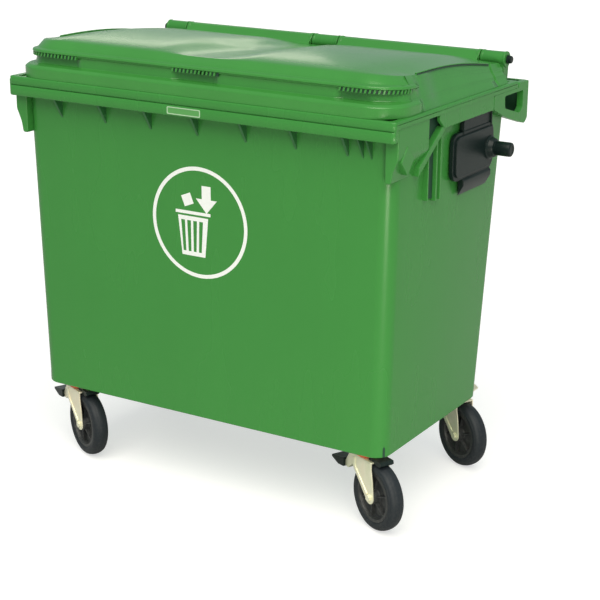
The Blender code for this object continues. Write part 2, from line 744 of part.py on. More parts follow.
def make_wheel(label, swivel):
    """Plastic wheel centre with a thin web, a rubber tyre round it and a bush in its hub."""
    seat = TYRE_INNER - GAP
    bore = BUSH_RADIUS + BORE_GAP
    profile = [(bore, HUB_HALF), (0.020, HUB_HALF), (0.024, 0.008), (0.060, 0.006),
               (0.064, 0.021), (seat, 0.021), (seat, -0.021), (0.064, -0.021),
               (0.060, -0.006), (0.024, -0.008), (0.020, -HUB_HALF), (bore, -HUB_HALF)]
    lay_on_axle(turned("wheel_centre_" + label, profile, black_plastic(), 24, ring=True), swivel)

    profile = [(TYRE_INNER, TYRE_HALF - 0.003), (0.080, TYRE_HALF), (0.092, TYRE_HALF - 0.002),
               (0.098, 0.014), (WHEEL_RADIUS, 0.0), (0.098, -0.014),
               (0.092, -TYRE_HALF + 0.002), (0.080, -TYRE_HALF), (TYRE_INNER, -TYRE_HALF + 0.003)]
    lay_on_axle(turned("tyre_" + label, profile, rubber(), 24, ring=True), swivel)

    profile = [(AXLE_RADIUS + BORE_GAP, HUB_HALF), (BUSH_RADIUS, HUB_HALF),
               (BUSH_RADIUS, -HUB_HALF), (AXLE_RADIUS + BORE_GAP, -HUB_HALF)]
    surface = material("white_nylon", (0.75, 0.75, 0.72), 0.50)
    lay_on_axle(turned("wheel_bush_" + label, profile, surface, 10, ring=True), swivel)


def make_brake(label, swivel):
    """Foot brake: an arm that hangs from the crown's nose, its pedal, and the shoe over the tread."""
    along, up = TRAIL + PEDAL_PIVOT[0], PEDAL_PIVOT[1]
    lever = bpy.data.objects.new("brake_pivot_" + label, None)
    lever.location = (along, 0, up)
    lever.parent = swivel
    PARTS.objects.link(lever)

    name = "brake_arm_" + label
    bm = bmesh.new()
    arm = [(0.008, 0.006), (0.008, -0.030), (-0.030, -0.064), (-0.044, -0.062), (-0.044, -0.046),
           (-0.010, 0.006)]
    add_prism(bm, arm, "y", -0.016, 0.016)
    add_object(name, mesh_from(name, bm), zinc()).parent = lever

    name = "brake_pedal_" + label
    bm = bmesh.new()
    tip = -0.104
    pedal = [(-0.0443, -0.038), (-0.0443, -0.064), (-0.072, -0.066), (tip, -0.054), (tip, -0.048)]
    add_prism(bm, pedal, "y", -0.023, 0.023)
    add_object(name, mesh_from(name, bm), black_plastic()).parent = lever

    name = "brake_shoe_" + label
    bm = bmesh.new()
    top = 0.2150
    shoe = [(TRAIL + 0.0061, CROWN_UNDER), (TRAIL + 0.032, CROWN_UNDER - 0.002),
            (TRAIL + 0.040, 0.2060), (TRAIL + 0.037, top), (TRAIL - 0.018, top),
            (TRAIL - 0.018, CROWN_TOP + GAP), (TRAIL + 0.0061, CROWN_TOP + GAP)]
    add_prism(bm, shoe, "y", -0.022, 0.022)
    add_object(name, mesh_from(name, bm), black_plastic()).parent = swivel


def main():
    clear_scene()
    make_collections()
    make_tub()
    make_handles()
    make_trunnions()
    make_hinge_rod()
    make_label_plate()
    make_drain()
    make_lid()
    make_castor("front_left", -CASTOR_X, CASTOR_FRONT, True)
    make_castor("front_right", CASTOR_X, CASTOR_FRONT, True)
    make_castor("rear_left", -CASTOR_X, CASTOR_REAR, False)
    make_castor("rear_right", CASTOR_X, CASTOR_REAR, False)


main()
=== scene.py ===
"""The look of a four-wheel waste container: moulded tub, domed lid, trunnions and castors."""

import json
import math

import bmesh
import bpy
from bpy.props import FloatProperty, FloatVectorProperty, IntProperty, PointerProperty
from mathutils import Matrix, Vector


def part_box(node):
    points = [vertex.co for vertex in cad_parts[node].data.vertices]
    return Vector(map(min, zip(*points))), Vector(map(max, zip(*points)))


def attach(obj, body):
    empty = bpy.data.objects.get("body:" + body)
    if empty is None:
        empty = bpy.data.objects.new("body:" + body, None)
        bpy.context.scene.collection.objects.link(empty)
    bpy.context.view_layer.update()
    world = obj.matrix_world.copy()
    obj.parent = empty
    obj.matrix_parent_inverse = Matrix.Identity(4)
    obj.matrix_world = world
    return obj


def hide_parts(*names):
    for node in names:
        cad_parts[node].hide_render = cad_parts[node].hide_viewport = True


bl_info = {
    "name": "Waste Container",
    "version": (1, 0, 0),
    "blender": (4, 5, 0),
    "location": "3D View > Sidebar > Container",
    "description": "Builds the visible pieces of a four-wheel waste container on its frame",
    "category": "Add Mesh",
}

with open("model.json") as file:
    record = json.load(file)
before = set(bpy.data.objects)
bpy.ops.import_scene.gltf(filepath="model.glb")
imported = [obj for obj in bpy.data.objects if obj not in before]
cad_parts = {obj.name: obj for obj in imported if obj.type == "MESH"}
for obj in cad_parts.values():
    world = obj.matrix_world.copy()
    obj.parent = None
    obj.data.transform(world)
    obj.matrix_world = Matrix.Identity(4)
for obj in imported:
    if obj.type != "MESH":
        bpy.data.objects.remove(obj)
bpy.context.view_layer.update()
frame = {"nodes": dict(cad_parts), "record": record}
JOINTS = {joint["name"]: joint for joint in frame["record"]["behaviour"]["joints"]}
CORNERS = ("front_left", "front_right", "rear_left", "rear_right")
SIDES = ((-1, "left"), (1, "right"))

# Tub: half width, front y and rear y of the wall at its foot and at its neck
FOOT_Z, NECK_Z, RIM_TOP = 0.226, 1.164, 1.170
FOOT, NECK = (0.592, -0.3625, 0.2435), (0.612, -0.3720, 0.3270)
FLOOR_UNDER, FLOOR_TOP = 0.2356, 0.2436
WALL, WALL_RADIUS, SLIT_ANGLE = 0.006, 0.045, math.radians(-33)
RIM, RIM_RADIUS = (0.633, -0.4115, 0.3450), 0.012
RIM_BAND, RIM_FRONT, RIM_SIDE = 1.145, 1.115, 1.150
FLANGE_LOW, FLANGE_FRONT, FLANGE_REAR = 1.110, -0.1585, 0.1795
HINGE_Y, HINGE_Z, BARREL = 0.3325, 1.230, 0.023
EARS = ((-0.598, -0.520), (-0.048, 0.040), (0.520, 0.598))
LID_BARRELS = ((-0.517, -0.051), (0.043, 0.517))

# Lid: half width, front y, height at the front, height at the rear, how far it is a grip recess
LID_FOOT, LID_REAR = 1.1703, 0.302
LID_RADIUS, LID_REAR_RADIUS = 0.095, 0.020
LID_STEPS = (
    (0.6250, -0.4055, LID_FOOT, LID_FOOT, 0), (0.6250, -0.4055, 1.1985, 1.1850, 0),
    (0.6185, -0.3980, 1.2060, 1.1900, 0), (0.6110, -0.3790, 1.2085, 1.1930, 1),
    (0.6070, -0.3755, 1.2385, 1.2020, 1), (0.6130, -0.3855, 1.2415, 1.2050, 0),
    (0.6110, -0.3845, 1.2490, 1.2090, 0), (0.6040, -0.3725, 1.2515, 1.2115, 0),
    (0.5920, -0.3575, 1.2720, 1.2230, 0),
)
LID_POST, LID_GROOVE = -0.245, 0.226
GRIPS = ((-0.600, -0.400), (-0.072, 0.069), (0.445, 0.600))

# Castors, in each one's own frame: +X along the trail, +Y along the axle
WHEEL, TRAIL = 0.100, 0.055
CROWN_LOW, CROWN_HIGH = 0.2015, 0.2065
LEG_IN, LEG_OUT = 0.0275, 0.0315


# ---------------------------------------------------------------- settings
def colour(name, words, value):
    return FloatVectorProperty(name=name, description=words, subtype="COLOR", size=3,
                               min=0.0, max=1.0, default=value)


class ContainerSettings(bpy.types.PropertyGroup):
    body_colour: colour("Body", "Colour of the moulded tub", (0.045, 0.250, 0.045))
    lid_colour: colour("Lid", "Colour of the moulded lid", (0.048, 0.262, 0.045))
    black_colour: colour("Black parts", "Colour of the trunnions and pedals",
                         (0.005, 0.013, 0.012))
    tyre_colour: colour("Tyres", "Colour of the rubber", (0.014, 0.019, 0.024))
    zinc_colour: colour("Zinc", "Colour of the passivated forks", (0.97, 0.94, 0.76))
    seal_colour: colour("Dust rings", "Colour of the dust rings", (0.80, 0.15, 0.05))
    mark_colour: colour("Mark", "Colour of the printed mark", (0.90, 0.92, 0.90))
    gloss: FloatProperty(name="Plastic roughness", description="Roughness of the green plastic",
                         min=0.05, max=1.0, default=0.27, subtype="FACTOR")
    mark_radius: FloatProperty(name="Mark radius", description="Outer radius of the printed ring",
                               min=0.05, max=0.25, default=0.160, unit="LENGTH")
    mark_height: FloatProperty(name="Mark height", description="Height of the ring's centre",
                               min=0.4, max=1.0, default=0.812, unit="LENGTH")
    tooth_pitch: FloatProperty(name="Tooth pitch", description="Spacing of the grip teeth",
                               min=0.006, max=0.03, default=0.0125, unit="LENGTH")
    wheel_spokes: IntProperty(name="Wheel spokes", description="Ribs on each face of a wheel",
                              min=3, max=12, default=6)


def settings():
    return bpy.context.scene.waste_container


# ---------------------------------------------------------------- shader groups
def new_group(name, inputs, outputs):
    group = bpy.data.node_groups.new(name, "ShaderNodeTree")
    for label, kind, default in inputs:
        socket = group.interface.new_socket(label, in_out="INPUT", socket_type=kind)
        if default is not None:
            socket.default_value = default
    for label, kind in outputs:
        group.interface.new_socket(label, in_out="OUTPUT", socket_type=kind)
    return group, group.nodes.new("NodeGroupInput"), group.nodes.new("NodeGroupOutput")


def add_node(tree, kind, links=(), **values):
    """A node with values on its attributes or inputs, and links given as (input, socket)."""
    node = tree.nodes.new(kind)
    for key, value in values.items():
        if hasattr(node, key):
            setattr(node, key, value)
        else:
            node.inputs[key.replace("_", " ")].default_value = value
    for key, socket in links:
        tree.links.new(socket, node.inputs[key])
    return node


def add_noise(tree, vector, **values):
    """The value of a noise texture laid along a vector socket."""
    return add_node(tree, "ShaderNodeTexNoise", [("Vector", vector)], **values).outputs["Fac"]


def add_math(tree, operation, *terms):
    """The result of a math node; each term is a number or the socket that feeds it."""
    node = tree.nodes.new("ShaderNodeMath")
    node.operation = operation
    for slot, term in zip(node.inputs, terms):
        if isinstance(term, bpy.types.NodeSocket):
            tree.links.new(term, slot)
        else:
            slot.default_value = term
    return node.outputs[0]


def moulded_group():
    """Slow tone changes, faint flow lines and a fine skin for moulded plastic."""
    name = "moulded_skin"
    if name in bpy.data.node_groups:
        return bpy.data.node_groups[name]
    group, given, out = new_group(name, (
        ("Colour", "NodeSocketColor", None), ("Depth", "NodeSocketFloat", 0.12),
        ("Roughness", "NodeSocketFloat", 0.3), ("Skin Scale", "NodeSocketFloat", 420.0)),
        (("Colour", "NodeSocketColor"), ("Roughness", "NodeSocketFloat"),
         ("Height", "NodeSocketFloat")))
    place = add_node(group, "ShaderNodeTexCoord").outputs["Object"]
    stretch = add_node(group, "ShaderNodeMapping", [("Vector", place)], Scale=(9.0, 9.0, 0.9))
    cloud = add_noise(group, place, Scale=2.4, Detail=3.0, Roughness=0.55)
    flow = add_noise(group, stretch.outputs["Vector"], Scale=1.2, Detail=2.0, Roughness=0.5)
    skin = add_noise(group, place, Detail=2.0, Roughness=0.5)
    group.links.new(given.outputs["Skin Scale"], skin.node.inputs["Scale"])
    wave = add_noise(group, place, Scale=7.0, Detail=1.0)
    tone = add_math(group, "SUBTRACT", add_math(group, "ADD", cloud, flow), 1.0)
    deep = add_math(group, "MULTIPLY_ADD", tone, given.outputs["Depth"], 1.0)
    tint = add_node(group, "ShaderNodeVectorMath", [(0, given.outputs["Colour"])],
                    operation="SCALE")
    group.links.new(deep, tint.inputs["Scale"])
    rough = add_math(group, "MULTIPLY_ADD", tone, 0.06, given.outputs["Roughness"])
    height = add_math(group, "MULTIPLY_ADD", wave, 2.0, skin)
    group.links.new(tint.outputs["Vector"], out.inputs["Colour"])
    group.links.new(rough, out.inputs["Roughness"])
    group.links.new(height, out.inputs["Height"])
    return group


def dust_group():
    """Pale dust that settles towards the floor and in soft patches."""
    name = "settled_dust"
    if name in bpy.data.node_groups:
        return bpy.data.node_groups[name]
    group, given, out = new_group(name, (
        ("Colour", "NodeSocketColor", None), ("Dust", "NodeSocketColor", (0.42, 0.40, 0.35, 1)),
        ("Amount", "NodeSocketFloat", 0.2), ("Top", "NodeSocketFloat", 0.5)),
        (("Colour", "NodeSocketColor"),))
    place = add_node(group, "ShaderNodeNewGeometry").outputs["Position"]
    split = add_node(group, "ShaderNodeSeparateXYZ", [(0, place)])
    fall = add_node(group, "ShaderNodeMapRange", [("Value", split.outputs["Z"]),
                                                  ("From Max", given.outputs["Top"])],
                    To_Min=1.0, To_Max=0.0)
    spot = add_noise(group, place, Scale=150.0, Detail=5.0, Roughness=0.62)
    near = add_node(group, "ShaderNodeMapRange", [("Value", spot)], From_Min=0.42, From_Max=0.72)
    mask = add_math(group, "MULTIPLY", fall.outputs[0], near.outputs[0])
    share = add_math(group, "MULTIPLY", mask, given.outputs["Amount"])
    mix = add_node(group, "ShaderNodeMix", data_type="RGBA")
    group.links.new(share, mix.inputs[0])
    group.links.new(given.outputs["Colour"], mix.inputs[6])
    group.links.new(given.outputs["Dust"], mix.inputs[7])
    group.links.new(mix.outputs[2], out.inputs["Colour"])
    return group


def zinc_group():
    """The straw, olive and rose cast that passivated zinc has, with fine brushing."""
    name = "zinc_bloom"
    if name in bpy.data.node_groups:
        return bpy.data.node_groups[name]
    group, given, out = new_group(name, (("Colour", "NodeSocketColor", None),
                                         ("Roughness", "NodeSocketFloat", 0.3)),
                                  (("Colour", "NodeSocketColor"),
                                   ("Roughness", "NodeSocketFloat"),
                                   ("Height", "NodeSocketFloat")))
    place = add_node(group, "ShaderNodeTexCoord").outputs["Object"]
    cloud = add_noise(group, place, Scale=9.0, Detail=2.0, Distortion=0.8)
    ramp = add_node(group, "ShaderNodeValToRGB", [("Fac", cloud)])
    ramp.color_ramp.elements[0].position = 0.30
    ramp.color_ramp.elements[0].color = (0.72, 0.80, 0.62, 1)
    ramp.color_ramp.elements[1].position = 0.72
    ramp.color_ramp.elements[1].color = (1.0, 0.86, 0.72, 1)
    middle = ramp.color_ramp.elements.new(0.5)
    middle.color = (1.0, 1.0, 0.92, 1)
    mix = add_node(group, "ShaderNodeMix", data_type="RGBA", blend_type="MULTIPLY")
    mix.inputs[0].default_value = 0.5
    group.links.new(given.outputs["Colour"], mix.inputs[6])
    group.links.new(ramp.outputs["Color"], mix.inputs[7])
    brush = add_noise(group, place, Scale=240.0, Detail=3.0)
    rough = add_math(group, "MULTIPLY_ADD", brush, 0.12, given.outputs["Roughness"])
    group.links.new(mix.outputs[2], out.inputs["Colour"])
    group.links.new(rough, out.inputs["Roughness"])
    group.links.new(brush, out.inputs["Height"])
    return group


# ---------------------------------------------------------------- materials
def start_material(name, **values):
    made = bpy.data.materials.new(name)
    made.use_nodes = True
    shader = made.node_tree.nodes["Principled BSDF"]
    for key, value in values.items():
        shader.inputs[key.replace("_", " ")].default_value = value
    return made, made.node_tree, shader


def place_group(tree, group, **values):
    node = tree.nodes.new("ShaderNodeGroup")
    node.node_tree = group
    for key, value in values.items():
        node.inputs[key.replace("_", " ")].default_value = value
    return node


def moulded_material(name, base, roughness, skin, bump, depth=0.12, dust=0.0, dust_top=0.6,
                     **values):
    """Moulded plastic or rubber: skin, tone and, low down, dust."""
    if name in bpy.data.materials:
        return bpy.data.materials[name]
    made, tree, shader = start_material(name, **values)
    skin_node = place_group(tree, moulded_group(), Colour=(*base, 1), Roughness=roughness,
                            Skin_Scale=skin, Depth=depth)
    colour_out = skin_node.outputs["Colour"]
    if dust:
        dust_node = place_group(tree, dust_group(), Amount=dust, Top=dust_top)
        tree.links.new(colour_out, dust_node.inputs["Colour"])
        colour_out = dust_node.outputs["Colour"]
    tree.links.new(colour_out, shader.inputs["Base Color"])
    tree.links.new(skin_node.outputs["Roughness"], shader.inputs["Roughness"])
    relief = add_node(tree, "ShaderNodeBump", [("Height", skin_node.outputs["Height"])],
                      Strength=bump, Distance=0.0006)
    tree.links.new(relief.outputs["Normal"], shader.inputs["Normal"])
    return made


def tub_green():
    return moulded_material("tub_polyethylene", settings().body_colour, settings().gloss,
                            520.0, 0.08, depth=0.07, dust=0.03, dust_top=0.55,
                            Specular_IOR_Level=0.35)


def lid_green():
    return moulded_material("lid_polyethylene", settings().lid_colour,
                            settings().gloss - 0.04, 520.0, 0.08, depth=0.12,
                            Specular_IOR_Level=0.45, Coat_Weight=0.10, Coat_Roughness=0.10)


def black_plastic():
    return moulded_material("black_polyamide", settings().black_colour, 0.34, 900.0, 0.22,
                            depth=0.3, dust=0.03, dust_top=1.6, Specular_IOR_Level=0.25)


def wheel_plastic():
    return moulded_material("wheel_polypropylene", (0.024, 0.027, 0.029), 0.42, 800.0, 0.25,
                            depth=0.3, dust=0.10, dust_top=0.4)


def tyre_rubber():
    return moulded_material("tyre_rubber", settings().tyre_colour, 0.50, 700.0, 0.35,
                            depth=0.35, dust=0.04, dust_top=0.35, Specular_IOR_Level=0.30)


def seal_plastic():
    return moulded_material("dust_ring_plastic", settings().seal_colour, 0.40, 700.0, 0.1)


def plate_plastic():
    return moulded_material("label_plate_plastic", (0.085, 0.34, 0.075), 0.12, 300.0, 0.03,
                            depth=0.1, Coat_Weight=0.6, Coat_Roughness=0.05)


def plate_edge():
    return moulded_material("label_plate_edge", (0.40, 0.62, 0.38), 0.15, 300.0, 0.03,
                            Coat_Weight=0.6, Coat_Roughness=0.05)


def painted_shade_green():
    """Painted shade: a dark green for the deep inside of a moulded pocket, where little light
    reaches.
    """
    return moulded_material("pocket_polyethylene", (0.010, 0.052, 0.026), 0.55, 520.0, 0.10)


def gusset_shade_green():
    """Painted shade: the gussets stand in the rim's shade, so they get a deeper green than the
    wall.
    """
    return moulded_material("gusset_polyethylene", (0.022, 0.135, 0.034), 0.4, 520.0, 0.10)


def nylon():
    return moulded_material("bush_nylon", (0.70, 0.69, 0.64), 0.45, 700.0, 0.1)


def gasket_rubber():
    return moulded_material("gasket_rubber", (0.015, 0.015, 0.015), 0.6, 700.0, 0.3)


def printed_mark():
    return moulded_material("printed_mark", settings().mark_colour, 0.34, 600.0, 0.05, depth=0.06)


def metal_material(name, base, roughness):
    if name in bpy.data.materials:
        return bpy.data.materials[name]
    made, tree, shader = start_material(name, Metallic=0.5)
    bloom = place_group(tree, zinc_group(), Colour=(*base, 1), Roughness=roughness)
    tree.links.new(bloom.outputs["Colour"], shader.inputs["Base Color"])
    tree.links.new(bloom.outputs["Roughness"], shader.inputs["Roughness"])
    relief = add_node(tree, "ShaderNodeBump", [("Height", bloom.outputs["Height"])],
                      Strength=0.12, Distance=0.0003)
    tree.links.new(relief.outputs["Normal"], shader.inputs["Normal"])
    return made


def zinc():
    return metal_material("passivated_zinc", settings().zinc_colour, 0.26)


def steel():
    return metal_material("galvanised_steel", (0.62, 0.63, 0.62), 0.30)


# ---------------------------------------------------------------- mesh helpers
def make_piece(name, bm, surface, body, nodes=(), bevel=0.0, segments=3, angle=35):
    """A piece from a mesh, bevelled where asked, that rides a body and stands for nodes."""
    bmesh.ops.remove_doubles(bm, verts=bm.verts, dist=0.00002)
    bmesh.ops.recalc_face_normals(bm, faces=bm.faces)
    mesh = bpy.data.meshes.new(name)
    bm.to_mesh(mesh)
    bm.free()
    mesh.shade_smooth()
    mesh.set_sharp_from_angle(angle=math.radians(angle))
    mesh.materials.append(surface)
    piece = bpy.data.objects.new(name, mesh)
    bpy.context.scene.collection.objects.link(piece)
    if bevel:
        rounding = piece.modifiers.new("rounding", "BEVEL")
        rounding.width = bevel
        rounding.segments = segments
        rounding.limit_method = "ANGLE"
        rounding.angle_limit = math.radians(32)
        rounding.harden_normals = True
    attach(piece, body)
    if nodes:
        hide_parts(*nodes)
    return piece


def add_loft(bm, rings, close=False, caps=False):
    """Skin rings of points; close joins the last ring to the first, caps fills both ends."""
    rows = [[bm.verts.new(point) for point in ring] for ring in rings]
    pairs = list(zip(rows, rows[1:]))
    if close:
        pairs.append((rows[-1], rows[0]))
    for lower, upper in pairs:
        count = len(lower)
        for index in range(count):
            after = (index + 1) % count
            bm.faces.new((lower[index], lower[after], upper[after], upper[index]))
    if caps:
        for row in (rows[0], rows[-1]):
            bm.faces.new(row)


def fill_loops(bm, loops):
    """Fill flat loops of points, those after the first being holes; gives edges and faces."""
    edges = []
    for loop in loops:
        verts = [bm.verts.new(point) for point in loop]
        edges += [bm.edges.new((verts[i - 1], verts[i])) for i in range(len(verts))]
    filled = bmesh.ops.triangle_fill(bm, edges=edges, use_beauty=True)
    return edges, [item for item in filled["geom"] if isinstance(item, bmesh.types.BMFace)]


def thicken(bm, faces, along):
    """Extrude faces by a vector and keep the first ones as the other side."""
    grown = bmesh.ops.extrude_face_region(bm, geom=faces, use_keep_orig=True)
    moved = [item for item in grown["geom"] if isinstance(item, bmesh.types.BMVert)]
    bmesh.ops.translate(bm, vec=along, verts=moved)


def add_plate(bm, outlines, axis, low, high):
    """Extrude a flat shape along an axis; outlines after the first are holes."""
    def place(pair, along):
        point = list(pair)
        point.insert("xyz".index(axis), along)
        return point
    loops = [[place(pair, low) for pair in outline] for outline in outlines]
    edges, faces = fill_loops(bm, loops)
    if len(outlines) == 1:
        bmesh.ops.dissolve_faces(bm, faces=faces)
        left = [edge for edge in edges if edge.is_valid]
        faces = list(dict.fromkeys(face for edge in left for face in edge.link_faces))
    thicken(bm, faces, Vector(place((0, 0), high - low)))


def add_side_plate(bm, outlines, side, inner, outer, axis="x"):
    """Extrude a flat shape between two distances from the middle, on one side of it."""
    low, high = sorted((side * inner, side * outer))
    add_plate(bm, outlines, axis, low, high)


def merge_into(bm, extra):
    """Add one mesh under construction to another."""
    mesh = bpy.data.meshes.new("extra")
    extra.to_mesh(mesh)
    extra.free()
    bm.from_mesh(mesh)
    bpy.data.meshes.remove(mesh)


def add_turned(bm, profile, matrix, steps=48):
    """Turn a closed profile of (radius, height) pairs about Z, then place it."""
    rings = []
    for step in range(steps):
        angle = 2 * math.pi * step / steps
        rings.append([matrix @ Vector((r * math.cos(angle), r * math.sin(angle), h))
                      for r, h in profile])
    add_loft(bm, rings, close=True)


def along_x(x, y, z, side=1):
    """A frame whose Z points along +X or -X."""
    return Matrix.Translation((x, y, z)) @ Matrix.Rotation(side * math.pi / 2, 4, "Y")


def fillet(outline, radius, steps=4):
    """Round every corner of a flat outline."""
    rounded = []
    count = len(outline)
    for index in range(count):
        here = Vector(outline[index])
        before = Vector(outline[index - 1]) - here
        after = Vector(outline[(index + 1) % count]) - here
        start = here + before * min(0.45, radius / before.length)
        end = here + after * min(0.45, radius / after.length)
        for step in range(steps + 1):
            t = step / steps
            rounded.append(tuple(start * (1 - t) ** 2 + here * 2 * t * (1 - t) + end * t ** 2))
    return rounded


def mirror(outline, side):
    return [(side * u, v) for u, v in outline]


def ease(value, low, high):
    share = min(max((value - low) / (high - low), 0.0), 1.0)
    return share * share * (3 - 2 * share)


def plan_ring(half, front, rear, front_radius, rear_radius, side_ys=(), across=8, arc=8):
    """Rounded rectangle in plan; side_ys are stops along both sides, from the rear."""
    corners = (
        (half - rear_radius, rear - rear_radius, rear_radius, 0.0),
        (rear_radius - half, rear - rear_radius, rear_radius, 90.0),
        (front_radius - half, front + front_radius, front_radius, 180.0),
        (half - front_radius, front + front_radius, front_radius, 270.0),
    )
    outline = []
    for index, (cx, cy, radius, start) in enumerate(corners):
        for step in range(arc + 1):
            angle = math.radians(start + 90.0 * step / arc)
            outline.append((cx + radius * math.cos(angle), cy + radius * math.sin(angle)))
        if index in (0, 2):
            ahead = corners[index + 1][0]
            outline += [(cx + (ahead - cx) * step / across, outline[-1][1])
                        for step in range(1, across)]
        else:
            stops = side_ys if index == 1 else tuple(reversed(side_ys))
            outline += [(outline[-1][0], y) for y in stops]
    return outline


# ---------------------------------------------------------------- tub
RETURN_DEEP = 0.006
GUSSET_TIP, GUSSET_PITCH, GUSSET_HALF = 1.054, 0.158, 0.0034
# Upright ribs beside each strut: front y, rear y, foot z, head z
RIBS = ((-0.1545, -0.1475, 0.915, 1.100), (-0.1300, -0.1240, 0.915, 1.112),
        (-0.2030, -0.1980, 0.925, 1.056))
# Outlines in y and z of the dark plates of painted shade in the deep pockets between the strut and
# the ribs
POCKET_SHADES = (((-0.204, 1.148), (-0.1160, 1.148), (-0.1160, 1.106), (-0.226, 1.050)),
           ((-0.198, 1.066), (-0.1545, 1.092), (-0.1545, 0.921), (-0.198, 0.930)),
           ((-0.1475, 1.097), (-0.130, 1.107), (-0.130, 0.917), (-0.1475, 0.920)))


def wall_at(z):
    share = (z - FOOT_Z) / (NECK_Z - FOOT_Z)
    return [low + (high - low) * share for low, high in zip(FOOT, NECK)]


def wall_ring(z, inset=0.0):
    half, front, rear = wall_at(z)
    radius = WALL_RADIUS - inset
    return [(x, y, z) for x, y in plan_ring(half - inset, front + inset, rear - inset,
                                            radius, radius)]


def rim_ring(inset, front_z, side_z):
    """One line of the rim: front_z along the front run, side_z round the rest."""
    half, front, rear = RIM
    radius = max(RIM_RADIUS - inset, 0.001)
    outline = plan_ring(half - inset, front + inset, rear - inset, radius, radius)
    edge = front + inset + radius * 0.35
    return [(x, y, front_z if y < edge else side_z) for x, y in outline]


